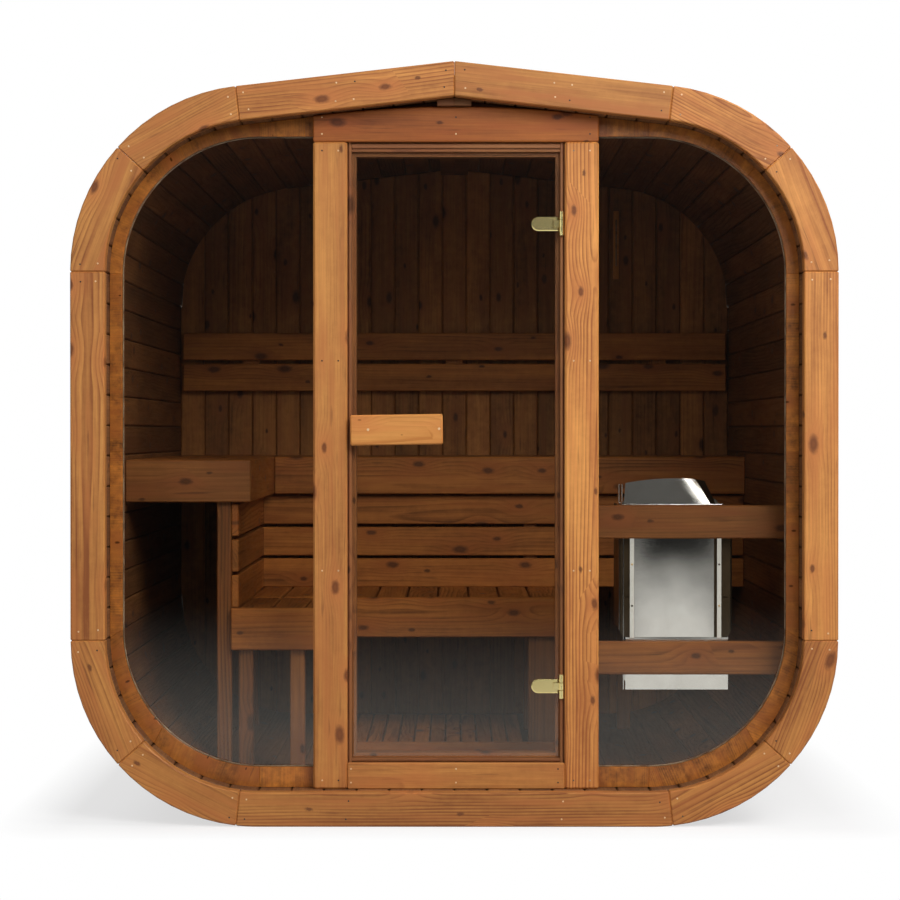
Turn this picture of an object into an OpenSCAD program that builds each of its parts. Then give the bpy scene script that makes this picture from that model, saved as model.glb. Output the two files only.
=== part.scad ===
// Cube sauna with a glazed front, a hinged glass door, corner benches and a hung heater.
// Millimetres. X runs across the front, Y from the front to the back, Z up.
// The origin is on the ground in the middle of the cabin.

/* [Cabin] */
// Width over the end rings
overall_w = 2060; // [1900:10:2600]
// Depth over the end rings
overall_d = 2000; // [1600:10:2800]
// Height at which the outer faces of a ring would meet if the roof were level
eaves_h = 1990; // [1900:10:2300]
// Slope of the two roof halves in degrees
roof_pitch = 6.5; // [3:0.5:10]
// Outer radius of the rounded corners
corner_r = 500; // [420:10:560]

/* [End rings] */
// Width of the ring boards, seen from the front
ring_face = 92; // [80:1:120]
// Thickness of the ring boards
ring_t = 42; // [28:1:60]
// Open joint between neighbouring ring boards
ring_joint = 1; // [0.5:0.1:2]

/* [Shell and walls] */
// Thickness of the floor, side and ceiling staves
shell_t = 42; // [28:1:50]
// Thickness of the boards laid over the ceiling staves
roof_t = 22; // [16:1:30]
// Angle that the roof boards reach down round the upper corners
roof_drop = 34; // [20:1:50]
// Thickness of the front and back walls
wall_t = 42; // [28:1:60]
// Distance of the front wall's face behind the ring's face
front_set = 100; // [90:1:160]
// Distance of the back wall's outer face in from the ring's face
back_set = 110; // [90:1:160]
// Gap round a wall or a pane in the frame that holds it
fit = 0.4; // [0.2:0.1:0.8]
// Width of the cross bearers under the floor
bearer_w = 92; // [60:1:140]
// Number of cross bearers
bearer_count = 3; // [2:1:5]

/* [Front glazing] */
// Visible width of the wall frame beside and above the side panes
band_w = 35; // [25:1:60]
// Visible height of the wall frame below the side panes
band_foot = 56; // [40:1:90]
// Thickness of the glass
glass_t = 8; // [6:1:12]
// Distance of the side panes behind the front wall's face
glass_set = 12; // [6:1:20]
// Height of the lower edge of the door's head board
head_z = 1845; // [1700:5:1860]
// Distance of the side panes' straight edges from the cabin's middle
pane_edge = 360; // [340:1:400]
// Thickness of the strip under the ridge
strip_t = 21; // [12:1:30]
// Width of the strip under the ridge
strip_w = 92; // [60:1:120]

/* [Door frame] */
// Clear width between the two door posts
door_opening = 589; // [490:1:640]
// Distance of the doorway's middle to the right of the cabin's middle
door_shift = 4.5; // [-20:0.5:20]
// Width of the left door post
left_post_w = 92; // [70:1:120]
// Width of the right door post
right_post_w = 92; // [70:1:120]
// Thickness of the post, head and sill boards
post_t = 35; // [28:1:42]
// Height of the sill board between the posts
sill_h = 71; // [50:1:120]
// Width of the jamb strips, seen from the front
jamb_w = 12; // [8:1:20]
// Height of the strip under the head board
jamb_head = 26; // [10:1:40]
// Distance of the jamb strips behind the post face
jamb_set = 15; // [12:1:20]
// Distance of the door glass behind the jamb strips' faces
glass_in = 3; // [2:0.5:6]
// Reach of the door stop beyond the jamb strips
stop_lap = 12; // [8:1:20]

/* [Door] */
// Gap between the door glass and the jamb strips
door_gap = 5; // [5:0.5:8]
// Gap between the back of the door glass and the stop
stop_gap = 5; // [5:0.5:8]
// Length of the handle board
handle_l = 250; // [150:5:350]
// Height of the handle board
handle_h = 82; // [50:1:120]
// Thickness of the handle board
handle_t = 20; // [15:1:30]
// Gap between the handle board and the glass
handle_off = 18; // [15:1:40]
// Height of the middle of the handle
handle_z = 1066; // [900:10:1200]
// Tilt of the handle board in degrees
handle_tilt = 0.8; // [0:0.1:2]
// Distance of the handle's free end from the left door post
handle_inset = 9; // [1:0.5:60]
// Length of the inside handle board
inner_handle_l = 188; // [180:1:220]
// Diameter of the handle's two spacer bars
spacer_d = 14; // [8:1:20]

/* [Hinges] */
// Distance of each hinge from its end of the door glass
hinge_inset = 190; // [120:5:300]
// Length of a hinge barrel
barrel_l = 65; // [45:1:80]
// Diameter of a hinge barrel
barrel_d = 13; // [10:0.5:16]
// Gap between a hinge barrel and the door post or the jamb
barrel_gap = 2.5; // [1:0.1:3]
// Length of the leaf between a fixed knuckle and the jamb
leaf_l = 3.5; // [2:0.5:6]
// Length of the lug that ties the moving knuckle to its plate
lug_l = 14; // [10:1:20]
// Diameter of a hinge pin
pin_d = 6; // [4:0.5:8]
// Running gap between the pin and its bore
pin_gap = 0.3; // [0.2:0.05:0.5]
// Gap between two barrel knuckles
knuckle_gap = 0.8; // [0.5:0.1:1.5]
// Length of a hinge plate on the glass
plate_l = 73; // [50:1:90]
// Height of a hinge plate
plate_h = 38; // [25:1:50]
// Thickness of a hinge plate
plate_t = 4; // [3:0.5:6]

/* [Benches] */
// Height of the upper bench
upper_z = 980; // [810:10:1100]
// Height of the lower bench
lower_z = 558; // [480:2:620]
// Depth of the rear upper bench
upper_depth = 506; // [420:2:600]
// Depth of the left upper bench from the side wall
side_depth = 358; // [300:2:450]
// Distance of the bench fronts from the inner face of the front wall
bench_start = 270; // [200:5:400]
// Thickness of the seat boards
seat_t = 28; // [22:1:35]
// Height of the bench front boards
fascia_h = 120; // [90:1:140]
// Depth of the lower bench in front of the rear skirt
lower_depth = 519; // [400:1:560]
// Reach of the lower bench's left arm from the left skirt
arm_w = 267; // [200:1:320]
// Length of the rear lower bench from the left skirt
lower_l = 1037; // [800:1:1200]
// Height of a skirt board
skirt_h = 92; // [70:1:100]
// Gap between skirt boards
skirt_gap = 10; // [6:1:16]
// Thickness of a skirt board
skirt_t = 20; // [15:1:28]
// Distance of the skirt behind the upper bench's front
skirt_back = 37; // [20:1:60]
// Side of a bench leg
leg = 42; // [36:1:60]
// Width of the lower bench's right leg
wide_leg = 87; // [60:1:100]
// Distance of the right leg from the lower bench's end
wide_leg_in = 108; // [40:1:150]
// Distance of the arm's inner leg from the arm's front board
arm_leg_in = 50; // [10:1:80]

/* [Backrest and floor grid] */
// Height of the backrest's lower edge
rest_z = 1200; // [1150:5:1300]
// Height of a backrest board
rest_h = 92; // [70:1:110]
// Gap between the two backrest boards
rest_gap = 13; // [8:1:30]
// Thickness of a backrest board
rest_t = 20; // [15:1:28]
// Depth of the spacer blocks behind the backrest
rest_off = 28; // [20:1:50]
// Gap between the backrest's ends and the side walls
rest_end = 12; // [5:1:60]
// Width of the spacer blocks behind the backrest
rest_block = 60; // [40:1:90]
// Distance of the floor grid in front of the lower bench's front
grid_out = 147; // [100:1:200]
// Distance of the floor grid's left end from the left skirt
grid_in = 310; // [290:1:330]
// Height of the battens under the grid slats
grid_batten = 17; // [12:1:22]
// Height of the floor grid
grid_h = 45; // [30:1:60]
// Width of a grid slat
slat_w = 42; // [30:1:44]
// Gap between grid slats
slat_gap = 5; // [4:0.5:15]
// Number of grid slats
slat_count = 11; // [6:1:14]
// Length of the floor grid from front to back
grid_l = 733; // [500:1:900]
// Length of the grid's front cross board
grid_cross = 612; // [600:2:700]

/* [Heater] */
// Height of the rails that carry the heater
rail_h = 92; // [70:1:110]
// Thickness of the rails
rail_t = 28; // [22:1:42]
// Distance of the rails from the inner face of the front wall
rail_set = 94; // [60:1:150]
// Height of the lower rail's lower edge
rail_low_z = 386; // [300:1:450]
// Height of the upper rail's lower edge
rail_high_z = 764; // [650:1:820]
// Width of the heater casing
heater_w = 294; // [250:2:320]
// Depth of the heater casing
heater_d = 250; // [200:5:300]
// Height of the heater casing's lower edge
heater_z = 341; // [250:1:400]
// Height of the heater casing
heater_h = 513; // [420:1:600]
// Thickness of the heater's sheet metal
sheet_t = 3; // [2:0.5:5]
// Distance of the heater's middle from the cabin's middle
heater_x = 617; // [580:1:650]
// Width of the back plate
back_w = 256; // [200:2:290]
// Width of the heater's outer jacket
jacket_w = 312; // [300:2:340]
// Height of the lower edge of the jacket and of the back plate
jacket_z = 487; // [480:1:560]
// Length of the hood up its slope
hood_h = 90; // [40:1:100]
// Width of the hood's foot
hood_w = 280; // [240:2:290]
// Sideways shift of the hood's middle from the heater's middle
hood_shift = -10; // [-12:1:12]
// Taper of the hood on each side
hood_taper = 32; // [20:1:60]
// Backward lean of the hood in degrees
hood_lean = 32; // [10:1:40]
// Radius of the hood's arched top
hood_r = 780; // [600:10:1500]
// Height of the stone heap above the casing
heap_h = 25; // [10:1:40]

/* [Thermometer] */
// Width of the thermometer board
thermo_w = 20; // [16:1:60]
// Height of the thermometer board
thermo_h = 234; // [150:1:260]
// Thickness of the thermometer board
thermo_t = 10; // [8:1:15]
// Distance of the thermometer from the cabin's middle
thermo_x = 554; // [450:1:700]
// Height of the thermometer's lower edge
thermo_z = 1583; // [1500:1:1600]

/* [Hidden] */
$fn = 96;
eps = 0.01;

// Ring and shell outline
half_w = overall_w / 2;
front_y = -overall_d / 2;
back_y = overall_d / 2;
corner_x = half_w - corner_r;
low_z = corner_r;
high_z = eaves_h - corner_r;
corner_sweep = 90 - roof_pitch;
inner_w = 2 * (half_w - ring_face);
floor_z = ring_face;
far = 2 * overall_w;
function ridge_z(inset) = high_z + (corner_r - inset + corner_x * sin(roof_pitch)) / cos(roof_pitch);

// Front wall planes
wall_y = front_y + front_set;
wall_in_y = wall_y + wall_t;
post_y = wall_y - post_t;
back_wall_y = back_y - back_set - wall_t;
pane_inset = ring_face + band_w;
half_open = door_opening / 2;
doorway = [door_shift - half_open, door_shift + half_open];
head_ends = [doorway[0] - left_post_w, doorway[1] + right_post_w];
head_mid = (head_ends[0] + head_ends[1]) / 2;
head_half = (head_ends[1] - head_ends[0]) / 2;
head_peak = ridge_z(ring_face) - strip_t - fit;
head_end_z = ridge_z(ring_face + fit) - fit - max(head_ends[1], -head_ends[0]) * tan(roof_pitch);

// Door planes
jamb_y = post_y + jamb_set;
glass_y = jamb_y + glass_in;
glass_back = glass_y + glass_t;
stop_y = glass_back + stop_gap;
sill_z = floor_z + sill_h;
door_half = half_open - jamb_w - door_gap;
door_low = sill_z + jamb_w + door_gap;
door_high = head_z - jamb_head - door_gap;
hinge_x = half_open - barrel_d / 2 - barrel_gap;
hinge_y = jamb_y - barrel_d / 2 - leaf_l;
hinge_zs = [door_low + hinge_inset, door_high - hinge_inset];
knuckle_l = (barrel_l - 2 * knuckle_gap) / 3;
handle_x = -half_open + handle_inset + handle_l / 2;

// Benches
side_x = inner_w / 2;
upper_front = back_wall_y - upper_depth;
skirt_y = upper_front + skirt_back;
left_front = -side_x + side_depth;
skirt_x = left_front - skirt_back;
bench_y = wall_in_y + bench_start;
lower_front = skirt_y - lower_depth;
arm_x = skirt_x + arm_w;
lower_end = skirt_x + lower_l;
skirt_pitch = skirt_h + skirt_gap;
skirt_count = floor((upper_z - fascia_h - lower_z + skirt_gap) / skirt_pitch);

// Floor grid
grid_y = lower_front - grid_out;
grid_x = skirt_x + grid_in;
slat_pitch = slat_w + slat_gap;

// Heater
rail_y = wall_in_y + rail_set;
casing_y = rail_y + rail_t + plate_t;

// Area inside the ring's outer edge, drawn in by the inset on every side
module outline(inset) {
    r = corner_r - inset;
    for (side = [-1, 1], z = [low_z, high_z]) translate([side * corner_x, z]) circle(r);
    polygon([
        [-corner_x, inset], [corner_x, inset],
        [half_w - inset, low_z], [half_w - inset, high_z],
        [corner_x + r * sin(roof_pitch), high_z + r * cos(roof_pitch)],
        [0, ridge_z(inset)],
        [-corner_x - r * sin(roof_pitch), high_z + r * cos(roof_pitch)],
        [-half_w + inset, high_z], [-half_w + inset, low_z],
    ]);
}

// Upright slab of a profile drawn in X and Z, from y0 to y1
module upright(y0, y1) {
    translate([0, y1, 0]) rotate([90, 0, 0]) linear_extrude(y1 - y0) children();
}

// Box from its lowest to its highest corner
module block(lo, hi) {
    translate(lo) cube(hi - lo);
}

// Band between two insets of the outline
module rim(outer, inner) {
    difference() {
        outline(outer);
        outline(inner);
    }
}

// The same shape on the left, or kept on the right
module on_side(side) {
    mirror([side < 0 ? 1 : 0, 0]) children();
}

// Wedge with its point on a corner's centre, between two angles
module wedge(side, z, from, to) {
    middle = (from + to) / 2;
    on_side(side) translate([corner_x, z])
        polygon([[0, 0], far * [cos(from), sin(from)], far * [cos(middle), sin(middle)],
                 far * [cos(to), sin(to)]]);
}

// Field of the pitched part of the roof on one side
module slope_field(side) {
    tip = far * [sin(roof_pitch), cos(roof_pitch)];
    on_side(side)
        polygon([[0, high_z], [corner_x, high_z], [corner_x, high_z] + tip, [0, high_z + far]]);
}

// Field of a straight side wall
module side_field(side) {
    on_side(side) translate([corner_x, low_z]) square([far, high_z - low_z]);
}

// Thin lines between neighbouring ring boards
module joint_lines() {
    translate([-ring_joint / 2, high_z]) square([ring_joint, far]);
    for (side = [-1, 1], end = [[low_z, -1], [high_z, 1]], step = [0:2]) on_side(side)
        translate([corner_x, end[0]]) rotate(end[1] * step * corner_sweep / 2)
            translate([0, -ring_joint / 2]) square([far, ring_joint]);
}

// Ring boards whose front faces stand at y
module ring_part(y) {
    color("peru") upright(y, y + ring_t) difference() {
        intersection() {
            rim(0, ring_face);
            children();
        }
        joint_lines();
    }
}
module ring_top(y) for (side = [-1, 1]) ring_part(y) slope_field(side);
module ring_sides(y) for (side = [-1, 1]) ring_part(y) side_field(side);
module ring_bottom(y) {
    tip = far * [sin(roof_pitch), -cos(roof_pitch)];
    ring_part(y) polygon([[-corner_x, low_z], [corner_x, low_z], [corner_x, low_z] + tip,
                          [-corner_x - tip.x, low_z + tip.y]]);
}
module ring_corners(y, z, turn) for (side = [-1, 1], half = [0, 1])
    ring_part(y) wedge(side, z, turn * half * corner_sweep / 2, turn * (half + 1) * corner_sweep / 2);

back_ring_y = back_y - ring_t;
module front_ring_top() ring_top(front_y);
module front_ring_sides() ring_sides(front_y);
module front_ring_bottom() ring_bottom(front_y);
module front_ring_top_corners() ring_corners(front_y, high_z, 1);
module front_ring_low_corners() ring_corners(front_y, low_z, -1);
module back_ring_top() ring_top(back_ring_y);
module back_ring_sides() ring_sides(back_ring_y);
module back_ring_bottom() ring_bottom(back_ring_y);
module back_ring_corners() {
    ring_corners(back_ring_y, high_z, 1);
    ring_corners(back_ring_y, low_z, -1);
}

// Shell of staves between the two rings
shell_out = ring_face - shell_t;
module shell_part() {
    color("sienna") upright(front_y + ring_t, back_ring_y) intersection() {
        rim(shell_out, ring_face);
        children();
    }
}
module shell_floor() shell_part() translate([-corner_x, 0]) square([2 * corner_x, low_z]);
module shell_left() shell_part() side_field(-1);
module shell_right() shell_part() side_field(1);
module shell_corner_low_left() shell_part() wedge(-1, low_z, 0, -90);
module shell_corner_low_right() shell_part() wedge(1, low_z, 0, -90);
module shell_corner_top_left() shell_part() wedge(-1, high_z, 0, corner_sweep);
module shell_corner_top_right() shell_part() wedge(1, high_z, 0, corner_sweep);
module ceiling_left() shell_part() slope_field(-1);
module ceiling_right() shell_part() slope_field(1);

// Strip that covers the joint between the two ceiling slopes
module ridge_strip() {
    color("peru") upright(front_y + ring_t, back_wall_y) intersection() {
        outline(ring_face);
        translate([-strip_w / 2, ridge_z(ring_face) - strip_t]) square([strip_w, far]);
    }
}

// Roof boards over the ceiling staves and the upper corners
module roof_half(side) {
    color("saddlebrown") upright(front_y + ring_t, back_ring_y) intersection() {
        rim(shell_out - fit - roof_t, shell_out - fit);
        union() {
            slope_field(side);
            wedge(side, high_z, corner_sweep - roof_drop, corner_sweep + eps);
        }
    }
}
module roof_left() roof_half(-1);
module roof_right() roof_half(1);

// Cross bearers between the floor and the ground
module bearers() {
    span = overall_d - 2 * ring_t - bearer_w;
    color("sienna") for (i = [0:bearer_count - 1]) {
        y = front_y + ring_t + i * span / (bearer_count - 1);
        block([-corner_x, y, 0], [corner_x, y + bearer_w, shell_out]);
    }
}

// Walls
module back_wall() {
    color("sienna") upright(back_wall_y, back_wall_y + wall_t) outline(ring_face + fit);
}

// Opening for the side panes, drawn in by a gap
module pane_field(gap) {
    r = corner_r - pane_inset - gap;
    low = ring_face + band_foot + corner_r - pane_inset;
    half = half_w - pane_inset - gap;
    intersection() {
        union() {
            for (side = [-1, 1], z = [low, high_z]) translate([side * corner_x, z]) circle(r);
            polygon([[-corner_x, low - r], [corner_x, low - r], [half, low], [half, high_z],
                     [corner_x, high_z + r], [-corner_x, high_z + r], [-half, high_z], [-half, low]]);
        }
        translate([pane_edge + gap, 0]) square(far);
    }
}
module wall_frame(side) {
    color("chocolate") upright(wall_y, wall_in_y) on_side(side) difference() {
        intersection() {
            outline(ring_face + fit);
            translate([half_open + side * door_shift, 0]) square(far);
        }
        pane_field(0);
    }
}
module wall_frame_left() wall_frame(-1);
module wall_frame_right() wall_frame(1);
module wall_over_door() {
    color("chocolate") upright(wall_y, wall_in_y) difference() {
        intersection() {
            outline(ring_face + fit);
            translate([doorway[0], head_z]) square([door_opening, far]);
        }
        translate([-strip_w / 2 - fit, head_peak]) square([strip_w + 2 * fit, far]);
    }
}
module window(side) {
    y = wall_y + glass_set;
    color("dimgray", 0.5) upright(y, y + glass_t) on_side(side) pane_field(fit);
}
module window_left() window(-1);
module window_right() window(1);

// Boards round the doorway
module door_post(x0, x1) {
    color("peru") block([x0, post_y, floor_z], [x1, wall_y, head_z]);
}
module door_post_left() door_post(head_ends[0], doorway[0]);
module door_post_right() door_post(doorway[1], head_ends[1]);
module door_head_board() {
    rise = head_peak - head_end_z;
    r = (head_half * head_half + rise * rise) / (2 * rise);
    color("peru") upright(post_y, wall_y) intersection() {
        outline(ring_face + fit);
        translate([head_ends[0], head_z]) square([2 * head_half, far]);
        translate([head_mid, head_peak - r]) circle(r, $fn = 1440);
    }
}
module door_sill_board() {
    color("peru") block([doorway[0], post_y, floor_z], [doorway[1], wall_in_y, sill_z]);
}
module door_jamb(side) {
    outer = side * half_open;
    inner = side * (half_open - jamb_w);
    lap = side * (half_open - jamb_w - stop_lap);
    color("chocolate") translate([door_shift, 0, 0]) {
        block([min(outer, inner), jamb_y, sill_z], [max(outer, inner), wall_in_y, head_z]);
        block([min(inner, lap), stop_y, sill_z], [max(inner, lap), wall_in_y, head_z]);
    }
}
module door_jamb_left() door_jamb(-1);
module door_jamb_right() door_jamb(1);
module door_end_strips() {
    wide = half_open - jamb_w;
    narrow = wide - stop_lap;
    color("chocolate") translate([door_shift, 0, 0]) {
        block([-wide, jamb_y, head_z - jamb_head], [wide, stop_y, head_z]);
        block([-narrow, stop_y, head_z - jamb_head - stop_lap], [narrow, wall_in_y, head_z]);
        block([-wide, jamb_y, sill_z], [wide, stop_y, sill_z + jamb_w]);
        block([-narrow, stop_y, sill_z], [narrow, wall_in_y, sill_z + jamb_w + stop_lap]);
    }
}

// Hinges: knuckles and pins on the jamb, plates on the glass
module knuckle(z) {
    translate([hinge_x, hinge_y, z]) cylinder(h = knuckle_l, d = barrel_d);
}
module hinge_knuckles() {
    color("gold") translate([door_shift, 0, 0]) for (z = hinge_zs) {
        low = z - barrel_l / 2;
        for (start = [low, low + barrel_l - knuckle_l]) {
            knuckle(start);
            block([hinge_x, hinge_y, start], [half_open - barrel_gap, jamb_y, start + knuckle_l]);
        }
        translate([hinge_x, hinge_y, low]) cylinder(h = barrel_l, d = pin_d);
    }
}
module plate_outline(end) {
    translate([end - plate_l + plate_h / 2, 0]) circle(d = plate_h);
    translate([end - plate_l + plate_h / 2, -plate_h / 2]) square([plate_l - plate_h / 2, plate_h]);
}
module hinge_plates() {
    back_cut = door_half - (half_open - jamb_w - stop_lap - door_gap);
    color("gold") translate([door_shift, 0, 0]) for (z = hinge_zs) {
        low = z - knuckle_l / 2;
        difference() {
            union() {
                knuckle(low);
                block([door_half - lug_l, hinge_y, low], [hinge_x, jamb_y - barrel_gap, low + knuckle_l]);
                block([door_half - lug_l, hinge_y, low], [door_half, glass_y, low + knuckle_l]);
                translate([0, 0, z]) upright(glass_y - plate_t, glass_y) plate_outline(door_half);
            }
            translate([hinge_x, hinge_y, low - 1]) cylinder(h = knuckle_l + 2, d = pin_d + 2 * pin_gap);
        }
        translate([0, 0, z]) upright(glass_back, glass_back + plate_t) difference() {
            plate_outline(door_half);
            translate([door_half - back_cut, -plate_h]) square([far, 2 * plate_h]);
        }
    }
}

// Door
module door_glass() {
    color("dimgray", 0.5) translate([door_shift, 0, 0])
        block([-door_half, glass_y, door_low], [door_half, glass_back, door_high]);
}
module handle_board(length, low_y, spacer_y) {
    color("burlywood") translate([door_shift + handle_x, 0, 0]) {
        translate([0, low_y, handle_z]) rotate([0, -handle_tilt, 0])
            translate([-length / 2, 0, -handle_h / 2]) cube([length, handle_t, handle_h]);
        for (side = [-1, 1]) translate([side * handle_l / 3, spacer_y, handle_z])
            rotate([-90, 0, 0]) cylinder(h = handle_off + handle_t / 2, d = spacer_d);
    }
}
module door_handle() {
    handle_board(handle_l, glass_y - handle_off - handle_t, glass_y - handle_off - handle_t / 2);
}
module door_handle_inside() {
    handle_board(inner_handle_l, glass_back + handle_off, glass_back);
}

// Benches
module upper_bench_rear() {
    color("peru") {
        block([-side_x + fit, upper_front, upper_z - seat_t], [side_x - fit, back_wall_y, upper_z]);
        block([left_front, upper_front, upper_z - fascia_h],
              [side_x - fit, upper_front + seat_t, upper_z]);
    }
}
module upper_bench_left() {
    color("peru") {
        block([-side_x + fit, bench_y, upper_z - seat_t], [left_front, upper_front, upper_z]);
        block([left_front - seat_t, bench_y, upper_z - fascia_h], [left_front, upper_front, upper_z]);
        block([-side_x + fit, bench_y, upper_z - fascia_h], [left_front, bench_y + seat_t, upper_z]);
    }
}
module skirt_rear() {
    color("peru") for (i = [0:skirt_count - 1]) {
        z = lower_z + i * skirt_pitch;
        block([skirt_x - skirt_t, skirt_y, z], [side_x - fit, skirt_y + skirt_t, z + skirt_h]);
    }
}
module skirt_left() {
    color("peru") for (i = [0:skirt_count - 1]) {
        z = lower_z + i * skirt_pitch;
        block([skirt_x - skirt_t, bench_y + seat_t, z], [skirt_x, skirt_y, z + skirt_h]);
    }
}
module lower_bench() {
    top = lower_z;
    under = lower_z - seat_t;
    low = lower_z - fascia_h;
    skirt_in = skirt_x - skirt_t;
    color("peru") {
        block([skirt_in, bench_y, under], [arm_x, skirt_y + skirt_t, top]);
        block([skirt_in, lower_front, under], [lower_end, skirt_y + skirt_t, top]);
        block([skirt_in, bench_y, low], [arm_x, bench_y + seat_t, top]);
        block([arm_x - seat_t, bench_y, low], [arm_x, lower_front + seat_t, top]);
        block([arm_x - seat_t, lower_front, low], [lower_end, lower_front + seat_t, top]);
        block([lower_end - seat_t, lower_front, low], [lower_end, skirt_y, top]);
    }
}
// Leg cut to the floor or to the rounded corner that it stands on
module leg_at(x, y, width, top) {
    upright(y, y + leg) intersection() {
        outline(ring_face + fit);
        translate([x, 0]) square([width, top]);
    }
}
module bench_legs() {
    front = bench_y + seat_t;
    back = skirt_y + skirt_t;
    post_x = skirt_x - skirt_t - leg;
    upper = upper_z - seat_t;
    lower = lower_z - seat_t;
    wide_x = lower_end - wide_leg_in - wide_leg;
    color("peru") {
        leg_at(post_x, front, leg, upper);
        for (x = [post_x, wide_x, corner_x]) leg_at(x, back, leg, upper);
        for (x = [skirt_x, arm_x - seat_t - arm_leg_in - leg]) leg_at(x, front, leg, lower);
        leg_at(wide_x, lower_front + seat_t, wide_leg, lower);
    }
}
module backrest() {
    back = back_wall_y - rest_off;
    half = side_x - rest_end;
    color("peru") {
        for (z = [rest_z, rest_z + rest_h + rest_gap])
            block([-half, back - rest_t, z], [half, back, z + rest_h]);
        for (x = [-half * 3 / 4, 0, half * 3 / 4])
            block([x - rest_block / 2, back, rest_z],
                  [x + rest_block / 2, back_wall_y, rest_z + 2 * rest_h + rest_gap]);
    }
}
module floor_grid() {
    cross_t = seat_t;
    slat_y = grid_y + cross_t;
    top = floor_z + grid_h;
    color("peru") {
        block([grid_x, grid_y, floor_z], [grid_x + grid_cross, slat_y, top]);
        for (i = [0:slat_count - 1])
            translate([grid_x + i * slat_pitch, slat_y, floor_z + grid_batten])
                cube([slat_w, grid_l - cross_t, grid_h - grid_batten]);
        for (y = [slat_y, slat_y + (grid_l - cross_t - leg) / 2, grid_y + grid_l - leg])
            block([grid_x, y, floor_z], [grid_x + slat_count * slat_pitch - slat_gap, y + leg,
                                         floor_z + grid_batten]);
    }
}
module wall_thermometer() {
    color("tan") block([thermo_x - thermo_w / 2, back_wall_y - thermo_t, thermo_z],
                       [thermo_x + thermo_w / 2, back_wall_y, thermo_z + thermo_h]);
}

// Heater
module heater_rails() {
    stud_x = pane_edge - leg / 3;
    color("peru") {
        for (z = [rail_low_z, rail_high_z]) upright(rail_y, rail_y + rail_t) intersection() {
            outline(ring_face + fit);
            translate([stud_x, z]) square([far, rail_h]);
        }
        block([stud_x, wall_in_y, rail_low_z], [stud_x + leg, rail_y, rail_high_z + rail_h]);
    }
}
casing_low = [heater_x - heater_w / 2, casing_y, heater_z];
casing_high = [heater_x + heater_w / 2, casing_y + heater_d, heater_z + heater_h];
tray_z = heater_z + heater_h / 2;
module heater_jacket() {
    half = [jacket_w / 2, 0, 0];
    middle = [heater_x, casing_y, jacket_z];
    wall = [sheet_t, sheet_t, 0];
    difference() {
        block(middle - half, [heater_x, casing_high.y, casing_high.z] + half);
        block(middle - half + wall + [0, 0, -1],
              [heater_x, far, casing_high.z + 1] + half - [sheet_t, 0, 0]);
    }
}
module heater_casing() {
    wall = [sheet_t, sheet_t, 0];
    color("silver") {
        heater_jacket();
        difference() {
            block(casing_low, casing_high);
            block(casing_low + wall + [0, 0, -1], [casing_high.x, casing_high.y, tray_z] - wall);
            block([casing_low.x, casing_low.y, tray_z + sheet_t] + wall,
                  casing_high - wall + [0, 0, 1]);
        }
    }
}
module heater_back_plate() {
    color("silver") block([heater_x - back_w / 2, rail_y + rail_t, jacket_z],
                          [heater_x + back_w / 2, casing_y, casing_high.z]);
}
module heater_hood() {
    half = hood_w / 2;
    top = half - hood_taper;
    color("silver") difference() {
        translate([heater_x + hood_shift, casing_y + sheet_t, casing_high.z]) rotate([90 - hood_lean, 0, 0])
            linear_extrude(sheet_t) intersection() {
                polygon([[-half, -leg], [half, -leg], [half, 0], [top, hood_h], [-top, hood_h], [-half, 0]]);
                translate([0, hood_h - hood_r]) circle(hood_r);
            }
        block([-far, casing_y - far, 0], [far, casing_y + far, casing_high.z]);
    }
}
module heater_stones() {
    inset = sheet_t + 1;
    heap = leg;
    low = [casing_low.x + inset, casing_low.y + inset, tray_z + sheet_t];
    rim = [casing_high.x - inset, casing_high.y - inset, casing_high.z];
    color("dimgray") {
        block(low, rim);
        block([low.x + heap, low.y + heap, low.z], [rim.x - heap, rim.y - inset, rim.z + heap_h]);
    }
}

bearers();
shell_floor();
shell_left();
shell_right();
shell_corner_low_left();
shell_corner_low_right();
shell_corner_top_left();
shell_corner_top_right();
ceiling_left();
ceiling_right();
ridge_strip();
roof_left();
roof_right();
front_ring_top();
front_ring_sides();
front_ring_bottom();
front_ring_top_corners();
front_ring_low_corners();
back_ring_top();
back_ring_sides();
back_ring_bottom();
back_ring_corners();
back_wall();
wall_frame_left();
wall_frame_right();
wall_over_door();
window_left();
window_right();
door_post_left();
door_post_right();
door_head_board();
door_sill_board();
door_jamb_left();
door_jamb_right();
door_end_strips();
hinge_knuckles();
door_glass();
door_handle();
door_handle_inside();
hinge_plates();
upper_bench_rear();
upper_bench_left();
skirt_rear();
skirt_left();
lower_bench();
bench_legs();
backrest();
floor_grid();
wall_thermometer();
heater_rails();
heater_casing();
heater_back_plate();
heater_hood();
heater_stones();
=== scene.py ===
# %% [markdown]
# # A cube sauna in timber and glass
# The cabin is a short tube of staves with rounded corners. A ring of thick boards trims
# each end, the front is tinted glass with a hinged glass door, and inside are benches and
# a heater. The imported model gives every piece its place. This file gives every piece its
# single boards, its finish and its light.

import math

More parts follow.
